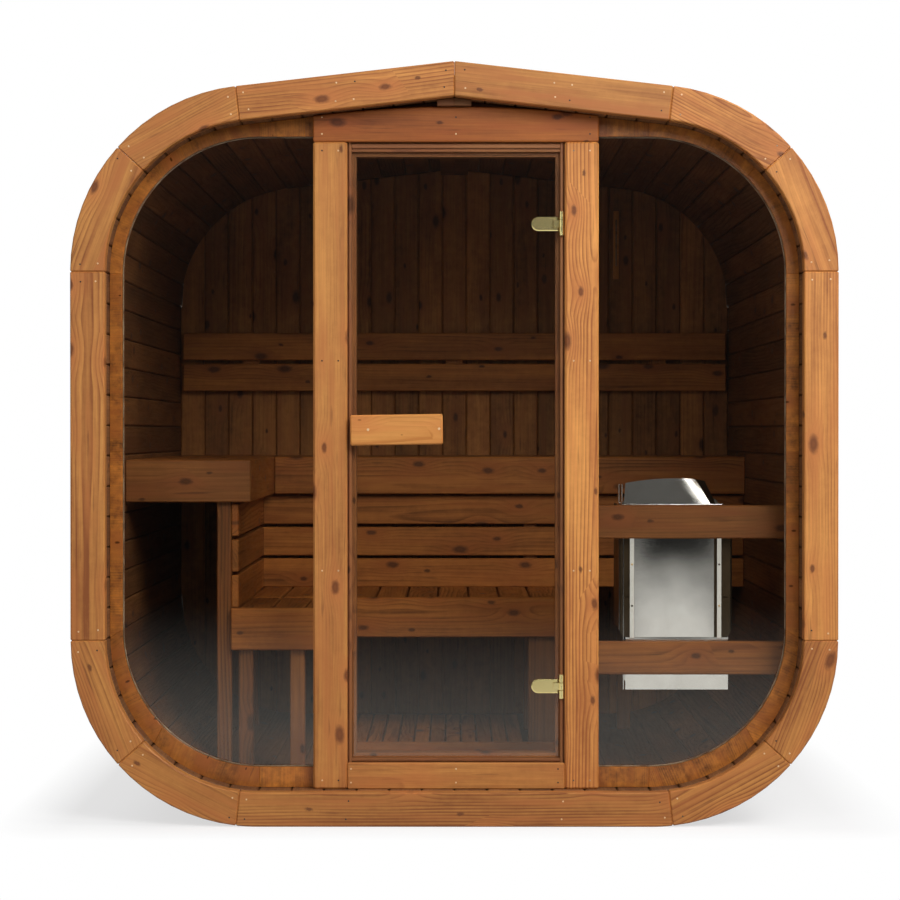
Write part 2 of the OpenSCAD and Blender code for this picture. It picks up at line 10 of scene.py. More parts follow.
import bpy
import numpy as np
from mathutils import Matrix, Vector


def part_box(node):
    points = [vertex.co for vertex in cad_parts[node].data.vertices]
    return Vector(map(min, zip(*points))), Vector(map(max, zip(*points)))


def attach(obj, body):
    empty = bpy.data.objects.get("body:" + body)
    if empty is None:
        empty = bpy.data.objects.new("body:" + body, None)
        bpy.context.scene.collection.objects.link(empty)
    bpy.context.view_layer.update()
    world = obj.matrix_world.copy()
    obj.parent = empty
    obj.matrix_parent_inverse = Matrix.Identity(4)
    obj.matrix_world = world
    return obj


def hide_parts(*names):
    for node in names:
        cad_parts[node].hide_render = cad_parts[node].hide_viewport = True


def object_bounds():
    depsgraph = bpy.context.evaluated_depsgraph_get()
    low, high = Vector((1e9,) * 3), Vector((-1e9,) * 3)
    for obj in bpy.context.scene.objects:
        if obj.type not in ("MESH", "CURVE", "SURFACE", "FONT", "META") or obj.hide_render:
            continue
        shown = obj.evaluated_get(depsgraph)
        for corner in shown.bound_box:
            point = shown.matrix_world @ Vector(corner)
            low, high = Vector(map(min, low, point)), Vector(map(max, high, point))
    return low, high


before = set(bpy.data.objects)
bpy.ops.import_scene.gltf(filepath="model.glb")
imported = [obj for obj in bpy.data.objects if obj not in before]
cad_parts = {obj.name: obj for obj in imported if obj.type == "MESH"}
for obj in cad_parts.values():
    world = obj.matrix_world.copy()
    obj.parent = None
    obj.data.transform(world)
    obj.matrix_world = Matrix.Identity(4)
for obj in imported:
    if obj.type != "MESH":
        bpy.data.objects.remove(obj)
cad_low, cad_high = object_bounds()
scene = bpy.context.scene
print("cabin box", [round(v, 3) for v in (*cad_low, *cad_high)])

# %% [markdown]
# ## Camera
# The camera comes first, because everything else is judged through it. It stands square to
# the front at about chest height, far enough back that the inside looks calm, and it is
# tipped and turned by less than half a degree to set the cabin in the picture. A long lens
# from far away keeps the upright boards upright without any lens shift.

# %% Camera
EYE_DISTANCE, EYE_HEIGHT, FOCAL = 6.6, 1.06, 98.5
TIP_DOWN, TURN_LEFT = 0.42, 0.10
camera = bpy.data.objects.new("camera", bpy.data.cameras.new("camera"))
camera.data.lens = FOCAL
camera.location = (0.0, cad_low.y - EYE_DISTANCE, EYE_HEIGHT)
camera.rotation_euler = (math.radians(90 - TIP_DOWN), 0.0, math.radians(TURN_LEFT))
scene.collection.objects.link(camera)
scene.camera = camera
print("camera stands at", [round(v, 2) for v in camera.location])

# %% [markdown]
# ## Shader maths as plain expressions
# A node graph is easier to read as a formula. A Wire wraps one socket and turns + - * /
# into Math nodes, also when the number stands on the left. Every other node comes from
# Graph.node, which takes the node's type, its settings and what its sockets hold.

# %% Wire and Graph
class Wire:
    """One value in a shader graph; an operator on it adds the Math node of that name."""

    def __init__(self, graph, socket):
        self.graph, self.socket = graph, socket

    def math(self, operation, *others):
        """This value and the others through one Math node."""
        sockets = dict(enumerate((self, *others)))
        return self.graph.node("ShaderNodeMath", {"operation": operation}, sockets)

    def __add__(self, other):
        return self.math("ADD", other)

    def __sub__(self, other):
        return self.math("SUBTRACT", other)

    def __mul__(self, other):
        return self.math("MULTIPLY", other)

    def __truediv__(self, other):
        return self.math("DIVIDE", other)

    def __pow__(self, other):
        return self.math("POWER", other)

    __radd__, __rmul__ = __add__, __mul__

    def __rsub__(self, other):
        return self.graph.node("ShaderNodeMath", {"operation": "SUBTRACT"}, {0: other, 1: self})

    def between(self, low, high):
        """0 below low, 1 above high and a straight climb from one to the other."""
        sockets = {"Value": self, "From Min": low, "From Max": high}
        return self.graph.node("ShaderNodeMapRange", {"clamp": True}, sockets)


class Graph:
    """The nodes of a material, or of the world."""

    def __init__(self, name, owner=None):
        self.owner = owner or bpy.data.materials.new(name)
        self.owner.use_nodes = True
        self.tree = self.owner.node_tree
        self.tree.nodes.clear()

    def node(self, kind, settings=None, sockets=None, out=0):
        """A new node of this kind; returns the wire of one of its outputs. A socket takes a
        link if it is given a wire, and otherwise holds the value itself."""
        made = self.tree.nodes.new(kind)
        for key, value in (settings or {}).items():
            setattr(made, key, value)
        for key, value in (sockets or {}).items():
            if isinstance(value, Wire):
                self.tree.links.new(value.socket, made.inputs[key])
            else:
                made.inputs[key].default_value = value
        return Wire(self, made.outputs[out]) if made.outputs else None

    def place(self):
        """Where a point lies in its own object."""
        return self.node("ShaderNodeTexCoord", out=3)

    def mix(self, factor, first, second):
        """The first colour where factor is 0, the second where it is 1."""
        settings = {"data_type": "RGBA", "clamp_factor": True}
        return self.node("ShaderNodeMix", settings, {0: factor, 6: first, 7: second}, out=2)

    def part(self, vector, index):
        """One of the three numbers of a vector or colour."""
        return self.node("ShaderNodeSeparateXYZ", {}, {0: vector}, out=index)

    def vector(self, operation, *sockets):
        """A Vector Math node of its first sockets."""
        return self.node("ShaderNodeVectorMath", {"operation": operation}, dict(enumerate(sockets)))

    def noise(self, vector, scale, detail=3.0, rough=0.55, out=0):
        """Smooth noise between 0 and 1: one value, or a vector from output 1."""
        return self.node("ShaderNodeTexNoise", {"noise_dimensions": "3D"}, {
            "Vector": vector, "Scale": scale, "Detail": detail, "Roughness": rough}, out)

    def streaks(self, vector, along, across, scale=1.0, detail=3.0, rough=0.55):
        """Noise drawn out along the log: few changes along it and many across it."""
        longer = self.vector("MULTIPLY", vector, (along, across, across))
        return self.noise(longer, scale, detail, rough)

    def bump(self, height, strength, distance, **more):
        """A normal bent by a height, which is distance deep where it changes by 1."""
        return self.node("ShaderNodeBump", {}, {
            "Strength": strength, "Distance": distance, "Height": height, **more})

    def principled(self, colour, rough, **more):
        """A Principled shader; a socket name has _ for its spaces here."""
        named = {key.replace("_", " "): value for key, value in more.items()}
        return self.node("ShaderNodeBsdfPrincipled", {}, {
            "Base Color": colour, "Roughness": rough, **named})

    def finish(self, shader, output="ShaderNodeOutputMaterial"):
        """Links the shader to the output and returns the material."""
        self.node(output, {}, {"Surface": shader})
        return self.owner


def srgb(red, green, blue):
    """A colour as a picture program writes it, 0 to 255, made linear."""
    parts = np.array([red, green, blue]) / 255.0
    linear = np.where(parts <= 0.04045, parts / 12.92, ((parts + 0.055) / 1.055) ** 2.4)
    return (*linear.tolist(), 1.0)


# %% [markdown]
# ## Wood
# A board is cut from a log, so its figure is a slice through growth rings. The shader does
# the same: every board carries a "grain" attribute, which says where each of its points
# lies in its log: how far along, and how far from the pith in the other two directions.
# Distance from the pith gives the rings, a slow noise bends them, and knots push them
# aside. A "tone" attribute makes neighbouring boards differ, as they do in a real cabin.

# %% The wood finish
def between_colours(first, second, share=0.5):
    """A colour part of the way from the first to the second, worked out as numbers."""
    return tuple(a + (b - a) * share for a, b in zip(first, second))


def ruddy(light, dark):
    """The redder tone that heartwood takes: half way to dark, with less green in it."""
    red, green, blue, alpha = between_colours(light, dark, 0.45)
    return (red * 1.04, green * 0.88, blue * 0.95, alpha)


def wood(name, light, dark, knot, of_frame=False, ring_gap=0.0085, contrast=0.75, knots=1.0,
         gloss=0.5, tone_span=0.35, mottle=0.8, fine=1.3, blotch=0.3):
    """Planed softwood: rings by distance from the pith, fine fibres, knots and board tones.

    Boards bring their own place in the log; a piece of the frame has no such attribute and
    takes its object's place instead, with the grain lying level."""
    light, dark, knot = srgb(*light), srgb(*dark), srgb(*knot)
    g = Graph(name)
    place = g.place() if of_frame else g.node(
        "ShaderNodeAttribute", {"attribute_name": "grain"}, out=1)
    along, across, through = (g.part(place, i) for i in range(3))

    # knots: a spot in the middle of a cell, where the cell's luck is high enough
    knot_field = {"Vector": g.vector("MULTIPLY", place, (4.6, 9.0, 1.0)), "Scale": 1.0}
    flat = {"feature": "F1", "voronoi_dimensions": "2D"}
    knot_near = g.node("ShaderNodeTexVoronoi", flat, knot_field)
    luck = g.part(g.node("ShaderNodeTexVoronoi", flat, knot_field, out=1), 0)
    ragged = g.noise(place, 75.0, 4.0, 0.75) * 0.08
    size = luck.between(0.2, 1.0) ** 1.5 * (0.070 * knots) + ragged * knots
    knotted = 1.0 - (knot_near / size).between(0.55, 1.35)
    spread = (1.0 - knot_near.between(0.0, 0.5)) * luck.between(0.25, 0.5)

    # growth rings: the pith's distance, bent by a slow noise and pushed aside by knots
    bend = g.streaks(place, 0.8, 4.0, detail=2.0)
    radius = (across * across + through * through).math("SQRT")
    radius = radius + bend * 0.040 + spread * spread * 0.022 + along * 0.005
    turn = (radius / ring_gap).math("FRACT")
    late = turn ** 3.0 * (1.0 - turn.between(0.88, 1.0))
    clear = g.streaks(place, 1.1, 14.0, detail=1.0).between(0.35, 0.65)
    fibre = g.streaks(place, 7.0, 260.0)
    streak = g.streaks(place, 1.4, 38.0, detail=4.0, rough=0.6)
    cloud = g.streaks(place, 1.8, 9.0)

    # colour: how much of the dark tone shows, then red heartwood, the board's tone and knots
    tone = 0.5 if of_frame else g.node("ShaderNodeAttribute", {"attribute_name": "tone"}, out=2)
    figure = 0.5 if of_frame else (tone * 7.3).math("FRACT")
    patch = g.noise(place, 34.0, 4.0, 0.7)
    lines = late * (0.15 + clear * 0.85) * (0.35 + figure * 1.5) * contrast
    depth = (0.34 + lines + (streak - 0.5) * fine + (fibre - 0.5) * 0.7
             + (cloud - 0.5) * mottle + (patch - 0.5) * blotch)
    planed = g.mix(depth.between(0.0, 1.0), light, dark)
    red = g.streaks(place, 2.0, 20.0, scale=1.7, detail=2.0).between(0.45, 0.7)
    planed = g.mix(red * (0.95 - tone * 0.6), planed, ruddy(light, dark))
    shade = 1.0 - tone_span / 2 + tone * tone_span
    toned = g.node("ShaderNodeVectorMath", {"operation": "SCALE"}, {0: planed, "Scale": shade})
    halo = g.mix((spread * spread * 1.1).between(0.0, 1.0), toned, ruddy(light, dark))
    heart = (knot_near / size).between(0.25, 0.9)
    colour = g.mix(knotted * 0.86, halo, g.mix(heart * 0.8, between_colours(dark, knot), knot))
    pitch_line = g.streaks(place, 6.0, 75.0, detail=2.0).between(0.66, 0.76)
    colour = g.mix(pitch_line * 0.5, colour, between_colours(dark, knot, 0.6))

    # gloss and relief follow the same figure
    rough = gloss + (fibre - 0.5) * 0.16 + late * 0.08 - knotted * 0.12
    relief = g.bump(late * 0.35 + fibre * 0.5 + knotted * 0.5, 0.35, 0.0006)
    return g.finish(g.principled(colour, rough, Normal=relief, Specular_IOR_Level=0.35))


trim_wood = wood("trim_wood", (212, 145, 74), (142, 79, 35), (62, 26, 14),
                 contrast=1.1, mottle=1.2, blotch=0.5)
# The head board's finish is a darker, redder trim wood with no board tones: partly its own colour,
# partly painted shade from the ring that overhangs it.
header_shaded_wood = wood("header_shaded_wood", (180, 103, 38), (112, 54, 14), (52, 22, 10),
                   contrast=0.6, mottle=1.2, tone_span=0.0)
# The staves are darker than the trim: partly their own colour, partly painted shade for the dim
# inside of the cabin.
stave_wood = wood("stave_wood", (136, 90, 50), (72, 42, 21), (34, 20, 12), ring_gap=0.010,
                  contrast=0.4, tone_span=0.6, gloss=0.6, mottle=1.5, fine=0.9, blotch=0.7)
wall_wood = wood("wall_wood", (178, 118, 62), (98, 58, 28), (38, 20, 12), ring_gap=0.012,
                 contrast=0.35, tone_span=0.7, gloss=0.6, mottle=1.9, fine=0.8, blotch=1.1,
                 knots=0.9)
bench_wood = wood("bench_wood", (186, 116, 50), (112, 62, 20), (46, 22, 12), ring_gap=0.009,
                  contrast=0.8, gloss=0.55, mottle=1.5, tone_span=0.35, blotch=0.6)
rail_wood = wood("rail_wood", (160, 102, 50), (98, 56, 22), (42, 20, 10), ring_gap=0.009,
                 contrast=1.0, gloss=0.5, mottle=1.3, tone_span=0.5)
handle_wood = wood("handle_wood", (214, 150, 79), (182, 114, 50), (110, 62, 28),
                   ring_gap=0.007, contrast=0.7, knots=0.3, gloss=0.42)
roof_wood = wood("roof_wood", (120, 82, 56), (72, 46, 30), (38, 24, 16), ring_gap=0.010,
                 tone_span=0.5, gloss=0.7)
frame_wood = wood("frame_wood", (188, 116, 46), (86, 46, 17), (44, 22, 12), ring_gap=0.006,
                  contrast=0.3, gloss=0.3, mottle=1.4, fine=0.5, tone_span=0.4, blotch=2.0,
                  knots=0.3)
# The mouldings are darker than the trim: painted shade for their recess behind the posts and the
# head board.
jamb_shaded_wood = wood("jamb_shaded_wood", (156, 100, 54), (100, 58, 28), (48, 26, 14), gloss=0.45,
                 tone_span=0.3)
lintel_wood = wood("lintel_wood", (120, 72, 34), (70, 38, 16), (36, 18, 10), of_frame=True)
print("wood finishes:", [m.name for m in bpy.data.materials if m.name.endswith("_wood")])

# %% [markdown]
# ## Tinted glass
# A pane this thin bends light so little that a real refraction only adds noise. The pane is
# a mix instead: a tinted see-through shader that lets the lamps into the cabin, and a mirror
# that grows towards the edges of the view by Fresnel's law. A ray that leaves the slab meets
# its faces from inside, so the index is turned over there and both faces mirror alike. The
# door and the side panes use the same bronze tint, because all of them come from one sheet.

# %% Glass, metal, stone and seal
GLASS_INDEX = 1.5


def glass(name, tint):
    """A tinted pane: light goes straight through it, and a little comes back as a mirror."""
    g = Graph(name)
    film = g.noise(g.place(), 2.2, 2.0)
    clear = g.node("ShaderNodeBsdfTransparent", {}, {"Color": tint})
    mirror = g.node("ShaderNodeBsdfGlossy", {}, {"Color": (0.95, 0.94, 0.90, 1.0),
                                               "Roughness": film * 0.02 + 0.01})
    inside = g.node("ShaderNodeNewGeometry", out=6)
    index = inside * (1 / GLASS_INDEX - GLASS_INDEX) + GLASS_INDEX
    fresnel = g.node("ShaderNodeFresnel", {}, {"IOR": index})
    return g.finish(g.node("ShaderNodeMixShader", {}, {0: fresnel * 0.75, 1: clear, 2: mirror}))


def metal(name, colour, dull, rough, spread, brushed=(8.0, 8.0, 8.0), lean=0.0, wave=0.0):
    """Metal with brushing marks and a slow change of gloss, as handling leaves on it.

    Waves in thin sheet are too shallow to model, yet a mirror shows them: so the normal
    leans down by a small share and wanders by a slow noise before the bump is added."""
    g = Graph(name)
    place = g.place()
    marks = g.noise(g.vector("MULTIPLY", place, brushed), 60.0, rough=0.7)
    cloud = g.noise(place, 9.0)
    wander = g.noise(place, 7.0, 1.0, 0.5, out=1)
    bent = g.vector("MULTIPLY_ADD", wander, (wave, 0.0, wave),
                    g.node("ShaderNodeNewGeometry", out=1))
    bent = g.vector("NORMALIZE", g.vector("ADD", bent, (-wave / 2, 0.0, -wave / 2 - lean)))
    bump = g.bump(marks, 0.12, 0.0004, Normal=bent)
    colour = g.mix(cloud.between(0.3, 0.75), srgb(*colour), srgb(*dull))
    rough = rough + (marks - 0.5) * spread + (cloud - 0.5) * spread
    return g.finish(g.principled(colour, rough, Metallic=1.0, Normal=bump))


def rough_stone(name):
    """Grey split stone: speckled, and darker where its bump is low: painted shade in the hollows.
    """
    g = Graph(name)
    place = g.place()
    cloud = g.noise(place, 14.0, 6.0, 0.65)
    speck = g.noise(place, 240.0, 2.0)
    colour = g.mix(cloud.between(0.3, 0.7), srgb(66, 66, 64), srgb(118, 115, 110))
    colour = g.mix(speck.between(0.55, 0.75) * 0.6, colour, srgb(160, 158, 150))
    bump = g.bump(cloud + speck * 0.4, 0.7, 0.002)
    return g.finish(g.principled(colour, cloud * 0.2 + 0.7, Normal=bump))


def soft_seal(name, colour, dirt):
    """The clear bead round a pane: pale, glossy and uneven, with dirt caught in it."""
    g = Graph(name)
    cloud = g.noise(g.place(), 30.0)
    colour = g.mix(cloud.between(0.35, 0.7), srgb(*colour), srgb(*dirt))
    return g.finish(g.principled(colour, cloud * 0.2 + 0.2))


def nail_finish(name, bright, dull):
    """Nail heads: most are bright, and where one sits deep the colour is dark: painted shade of its
    hole.
    """
    g = Graph(name)
    tone = g.node("ShaderNodeAttribute", {"attribute_name": "tone"}, out=2)
    grit = g.noise(g.place(), 900.0, 1.0)
    colour = g.mix((tone + grit * 0.2).between(0.62, 0.78), srgb(*bright), srgb(*dull))
    return g.finish(g.principled(colour, grit * 0.3 + 0.25))


FOLDED = (1.0, 1.0, 12.0)
tinted_glass = glass("tinted_glass", (0.957, 0.943, 0.902, 1.0))
hinge_brass = metal("hinge_brass", (246, 228, 160), (228, 208, 140), 0.23, 0.06)
heater_steel = metal("heater_steel", (228, 231, 238), (212, 214, 220), 0.075, 0.03, FOLDED)
plate_steel = metal("plate_steel", (229, 232, 240), (212, 215, 222), 0.06, 0.03, FOLDED,
                    lean=0.041, wave=0.05)
strip_steel = metal("strip_steel", (230, 232, 236), (214, 215, 218), 0.14, 0.05, FOLDED,
                    lean=0.11)
jacket_steel = metal("jacket_steel", (84, 72, 58), (56, 47, 38), 0.42, 0.08)
nail_head = nail_finish("nail_head", (222, 190, 146), (52, 34, 22))
heater_stone = rough_stone("heater_stone")
pane_seal = soft_seal("pane_seal", (150, 136, 112), (74, 52, 34))
print("other finishes:", [m.name for m in bpy.data.materials if not m.name.endswith("_wood")])

# %% [markdown]
# ## Boards
# Nearly everything here is a board: four long edge lines with a little cut off each corner,
# because a knife-sharp edge never survives a planer and catches no light. A board could be a
# cube with a Bevel modifier, but hundreds of objects would be slow. One function takes the
# edge lines of many boards as one array and returns all their points and faces at once. A
# board may follow a curve, so the same function makes the ring, the staves and the seats.

# %% Board maker
rng = np.random.default_rng(11)


def unit(vectors):
    """Vectors divided by their own length."""
    return vectors / np.maximum(np.linalg.norm(vectors, axis=-1, keepdims=True), 1e-12)


def tubes(rings):
    """Closed tubes from rings (tube, station, point, 3), as all their points and faces.

    Point p of station r of tube t has number (t R + r) P + p; a side face joins points p and
    p + 1 of two stations, and the first and last rings close the ends. A ring that turns the
    wrong way round its path is read backwards, so that faces look outwards."""
    arms = rings[:, :1] - rings[:, :1].mean(axis=2, keepdims=True)
    turning = np.cross(arms, np.roll(arms, -1, axis=2)).sum(axis=(1, 2))
    onward = (rings[:, 1:] - rings[:, :-1]).mean(axis=2)[:, 0]
    backwards = (turning * onward).sum(axis=-1) < 0
    rings = np.where(backwards[:, None, None, None], rings[:, :, ::-1], rings)
    number = np.arange(rings[..., 0].size).reshape(rings.shape[:3])
    beside = np.roll(number, -1, axis=2)
    sides = np.stack([number[:, :-1], beside[:, :-1], beside[:, 1:], number[:, 1:]], axis=-1)
    faces = sides.reshape(-1, 4).tolist() + number[:, 0, ::-1].tolist() + number[:, -1].tolist()
    return rings.reshape(-1, 3), faces


def boards(quads, along=None, through=(0, 1, 0), ease=0.0025):
    """Boards from edge lines (board, station, 4 corners, 3) as (points, faces, grain, tone).

    Each corner becomes two points, a cut's length away from it along both its sides; the end
    rings are drawn in by the same cut. Grain is each point's place in its own log: its
    distances along, across and through the board, plus a chance offset for every board."""
    before = unit(np.roll(quads, 1, axis=2) - quads)
    after = unit(np.roll(quads, -1, axis=2) - quads)

    def cut(corners, reach):
        pair = np.stack([corners + reach * before, corners + reach * after], axis=3)
        return pair.reshape(*quads.shape[:2], 8, 3)

    middle = quads.mean(axis=2, keepdims=True)
    body = cut(quads, ease)
    body[:, :1] += ease * unit(middle[:, 1:2] - middle[:, :1])
    body[:, -1:] -= ease * unit(middle[:, -1:] - middle[:, -2:-1])
    ends = cut(quads + ease * (before + after), ease * 0.4)
    rings = np.concatenate([ends[:, :1], body, ends[:, -1:]], axis=1)
    points, faces = tubes(rings)

    count, stations = rings.shape[:2]
    run = unit((middle[:, -1] - middle[:, 0])[:, 0]) if along is None else np.array(along, float)
    run = np.broadcast_to(run, (count, 3))
    deep = np.broadcast_to(np.array(through, float), (count, 3))
    deep = unit(deep - (deep * run).sum(axis=-1, keepdims=True) * run)
    axes = np.stack([run, np.cross(deep, run), deep], axis=1)
    rings = points.reshape(rings.shape)
    local = rings - rings.mean(axis=(1, 2), keepdims=True)
    chance = np.stack([rng.uniform(0, 60, count), rng.uniform(-0.07, 0.07, count),
                       rng.uniform(0.008, 0.10, count)], axis=-1)
    grain = np.einsum("nrpc,nac->nrpa", local, axes) + chance[:, None, None]
    tone = np.repeat(rng.uniform(0, 1, count), stations * 8)
    return points, faces, grain.reshape(-1, 3), tone


def edge_lines(*corners):
    """Edge lines from four corners, each a line of points (x, z) and the depth y it has."""
    return np.stack([np.insert(line, 1, y, axis=-1) for line, y in corners], axis=-2)


def straight(lows, highs, axis, ease=0.003):
    """Straight boards from their lowest and highest corners, with the grain along one axis."""
    lows, highs = np.broadcast_arrays(np.atleast_2d(lows).astype(float), np.atleast_2d(highs))
    b, c = (axis + 1) % 3, (axis + 2) % 3
    quads = np.tile(lows[:, None, None], (1, 2, 4, 1))
    quads[:, 1, :, axis] = highs[:, None, axis]
    quads[:, :, 1:3, b] = highs[:, None, None, b]
    quads[:, :, 2:, c] = highs[:, None, None, c]
    size = highs - lows
    thin = np.where(size[:, b] < size[:, c], b, c)
    return boards(quads, through=np.eye(3)[thin], ease=ease)


def row(start, end, width, gap=0.0):
    """Starts and ends of equal boards that fill a length, close to the width asked for."""
    count = max(1, round((end - start + gap) / (width + gap)))
    pitch = (end - start + gap) / count
    starts = start + pitch * np.arange(count)
    return starts, starts + pitch - gap


# Some parts take one tone as painted light and shade: a high tone for a side the light falls on, a
# low one for a part that stands in shade.
def toned(batch, tone):
    """The same boards with one tone for all of them: 0 is the darkest, 1 the lightest."""
    return (*batch[:3], np.full(len(batch[0]), float(tone)))


SMOOTH_BELOW = math.radians(35)


def piece(name, batches, material, *nodes, slot=None, body="cabin", smooth=False):
    """One object from batches of (points, faces[, grain, tone]), which rides on a body and
    stands for the frame's nodes that are named. Its slot is its finish's; the argument slot is not
    used."""
    sizes = np.cumsum([0] + [len(batch[0]) for batch in batches])
    faces = [[corner + first for corner in face]
             for first, batch in zip(sizes.tolist(), batches) for face in batch[1]]
    mesh = bpy.data.meshes.new(name)
    mesh.from_pydata(np.concatenate([batch[0] for batch in batches]).tolist(), [], faces)
    labels = ("grain", "FLOAT_VECTOR", "vector"), ("tone", "FLOAT", "value")
    for index, (label, kind, key) in enumerate(labels if len(batches[0]) == 4 else ()):
        values = np.concatenate([batch[2 + index] for batch in batches])
        held = mesh.attributes.new(label, kind, "POINT")
        held.data.foreach_set(key, np.ascontiguousarray(values, np.float32).ravel())
    mesh.materials.append(material)
    mesh.validate()
    if smooth:
        mesh.polygons.foreach_set("use_smooth", [True] * len(mesh.polygons))
        mesh.set_sharp_from_angle(angle=SMOOTH_BELOW)
    made = bpy.data.objects.new(name, mesh)
    scene.collection.objects.link(made)
    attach(made, body)
    if nodes:
        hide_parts(*nodes)
    print(f"{name}: {len(mesh.polygons)} faces")


def rods(starts, ends, radius, sides=16, ease=0.0):
    """Round bars between pairs of points: rings of equal angles about each line, with an
    eased rim at both ends. Each bar draws its own tone, for finishes that read it."""
    starts, ends = np.atleast_2d(starts).astype(float), np.atleast_2d(ends).astype(float)
    line = unit(ends - starts)
    aside = unit(np.cross(line, np.where(np.abs(line[:, 2:]) > 0.9, (1.0, 0, 0), (0, 0, 1.0))))
    over = np.cross(line, aside)
    angle = np.linspace(0, 2 * math.pi, sides, endpoint=False)
    round_ = np.cos(angle)[:, None] * aside[:, None] + np.sin(angle)[:, None] * over[:, None]
    steps = ((starts, radius - ease), (starts + ease * line, radius),
             (ends - ease * line, radius), (ends, radius - ease))
    points, faces = tubes(np.stack([at[:, None] + round_ * r for at, r in steps], axis=1))
    tone = np.repeat(rng.uniform(0, 1, len(starts)), len(points) // len(starts))
    return points, faces, points[:, ::-1] + 3.0, tone


NAIL_R, NAIL_PROUD, NAIL_DEEP = 0.0024, 0.0005, 0.003
FRONT = np.array((0.0, -1.0, 0.0))


def nails(spots, outward=FRONT, radius=NAIL_R):
    """Nail heads at spots on a surface: low round buttons that stand a little proud."""
    spots = np.atleast_2d(spots).astype(float)
    return rods(spots - NAIL_DEEP * outward, spots + NAIL_PROUD * outward, radius, 10,
                NAIL_PROUD)


print("random numbers start from one fixed seed")

# %% [markdown]
# ## The outline
# Rings, staves and end walls all follow one outline: a flat floor, two rounded lower
# corners, straight walls, two rounded upper corners and a roof with a low ridge. It is
# written once, as a function of a place s and of an inset, the distance inwards from the
# outermost face, so that pieces which touch use the same line.

# %% Outline from the frame
ring_box, back_ring_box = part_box("front_ring_sides"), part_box("back_ring_sides")
floor_low, floor_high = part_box("shell_floor")
wall_low, wall_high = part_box("shell_right")
HALF_W = ring_box[1].x
CORNER_X = floor_high.x
LOW_Z, HIGH_Z = wall_low.z, wall_high.z
CORNER_R = HALF_W - CORNER_X
RING_FACE = HALF_W - wall_low.x
SHELL_OUT = HALF_W - wall_high.x
PITCH_DEGREES, FIT = 6.5, 0.0004
PITCH = math.radians(PITCH_DEGREES)
TURNS = (-math.pi / 2, 0, 0, math.pi / 2)   # where the two corners' arcs begin and end


def ridge_z(inset):
    """Height of the ridge: where the sloping line through the upper corner meets the middle."""
    return HIGH_Z + (CORNER_R - inset + CORNER_X * math.sin(PITCH)) / math.cos(PITCH)


def around(s, inset):
    """Point (x, z) of the right half of the outline.

    s runs from 0 at the middle of the floor, one unit each for the floor, the lower corner,
    the wall, the upper corner and the roof slope. A corner is its centre plus the radius left
    by the inset, turned by an angle that grows with s; the rest are straight lines."""
    s, inset = np.broadcast_arrays(np.asarray(s, float), np.asarray(inset, float))
    angle = np.interp(s, (1, 2, 3, 4), (*TURNS[:3], TURNS[3] - PITCH))
    slope = np.clip(s - 4, 0, 1)
    x = np.interp(s, (0, 1), (0, CORNER_X)) + (CORNER_R - inset) * np.cos(angle)
    z = np.interp(s, (2, 3), (LOW_Z, HIGH_Z)) + (CORNER_R - inset) * np.sin(angle)
    return np.stack([x * (1 - slope), z * (1 - slope) + ridge_z(inset) * slope], axis=-1)


FINE_S = np.linspace(0, 5, 5001)


def measured(inset):
    """Length of the outline from the middle of the floor up to each fine step of s."""
    steps = np.linalg.norm(np.diff(around(FINE_S, inset), axis=0), axis=-1)
    return np.concatenate([[0.0], np.cumsum(steps)])


def outline_boards(starts, ends, outer, inner, ys, side, ease, stations=0):
    """Boards between two insets of the outline and two depths, each over one stretch of s.

    With stations they run along the outline, like the ring's; without, they run from front
    to back, like staves, and are flat across their own width."""
    s = np.linspace(starts, ends, stations or 2, axis=1)
    out, inn = around(s, outer) * (side, 1), around(s, inner) * (side, 1)
    if stations:
        near, far = ys
        return boards(edge_lines((out, near), (inn, near), (inn, far), (out, far)), ease=ease)
    section = np.concatenate([out, inn[:, ::-1]], axis=1)
    quads = np.stack([np.insert(section, 1, y, axis=-1) for y in ys], axis=1)
    deep = np.insert((out - inn).mean(axis=1), 1, 0.0, axis=-1)
    return boards(quads, through=unit(deep), ease=ease)


print("outline ridge", round(float(ridge_z(0)), 4), "length round", round(2 * measured(0)[-1], 3))

# %% [markdown]
# ## End rings
# The ring is the cabin's face: wide boards on the flats, and corners glued up from two
# curved boards each. The grain stays straight in each board, so it runs out at the curved
# edges. The front and back rings are the same maker called at two depths.

# %% Rings
RING_JOINT, RING_EASE, NAIL_END = 0.0003, 0.003, 0.024
RING_MIDDLE = measured(RING_FACE / 2)
EXTRA = PITCH / (math.pi / 2)
LOW_BREAKS = (1 + EXTRA, 1.5 + EXTRA / 2, 2)
WALL_BREAKS, TOP_BREAKS = (2, 3), (3, 3.5, 4)


def ring_boards(breaks, ys, side, stations):
    """Ring boards on one side between successive breaks, less half a joint at each end."""
    lengths = np.interp(breaks, FINE_S, RING_MIDDLE)
    starts = np.interp(lengths[:-1] + RING_JOINT / 2, RING_MIDDLE, FINE_S)
    ends = np.interp(lengths[1:] - RING_JOINT / 2, RING_MIDDLE, FINE_S)
    return outline_boards(starts, ends, 0.0, RING_FACE, ys, side, RING_EASE, stations)


def bottom_board(ys):
    """The floor board of a ring, which reaches a little way round both lower corners."""
    s = np.concatenate([np.linspace(1 + EXTRA, 1, 5), [0.0]])
    out, inn = (np.concatenate([half * (-1, 1), half[-2::-1]])[None]
                for half in (around(s, 0.0), around(s, RING_FACE)))
    near, far = ys
    return boards(edge_lines((out, near), (inn, near), (inn, far), (out, far)), ease=RING_EASE)


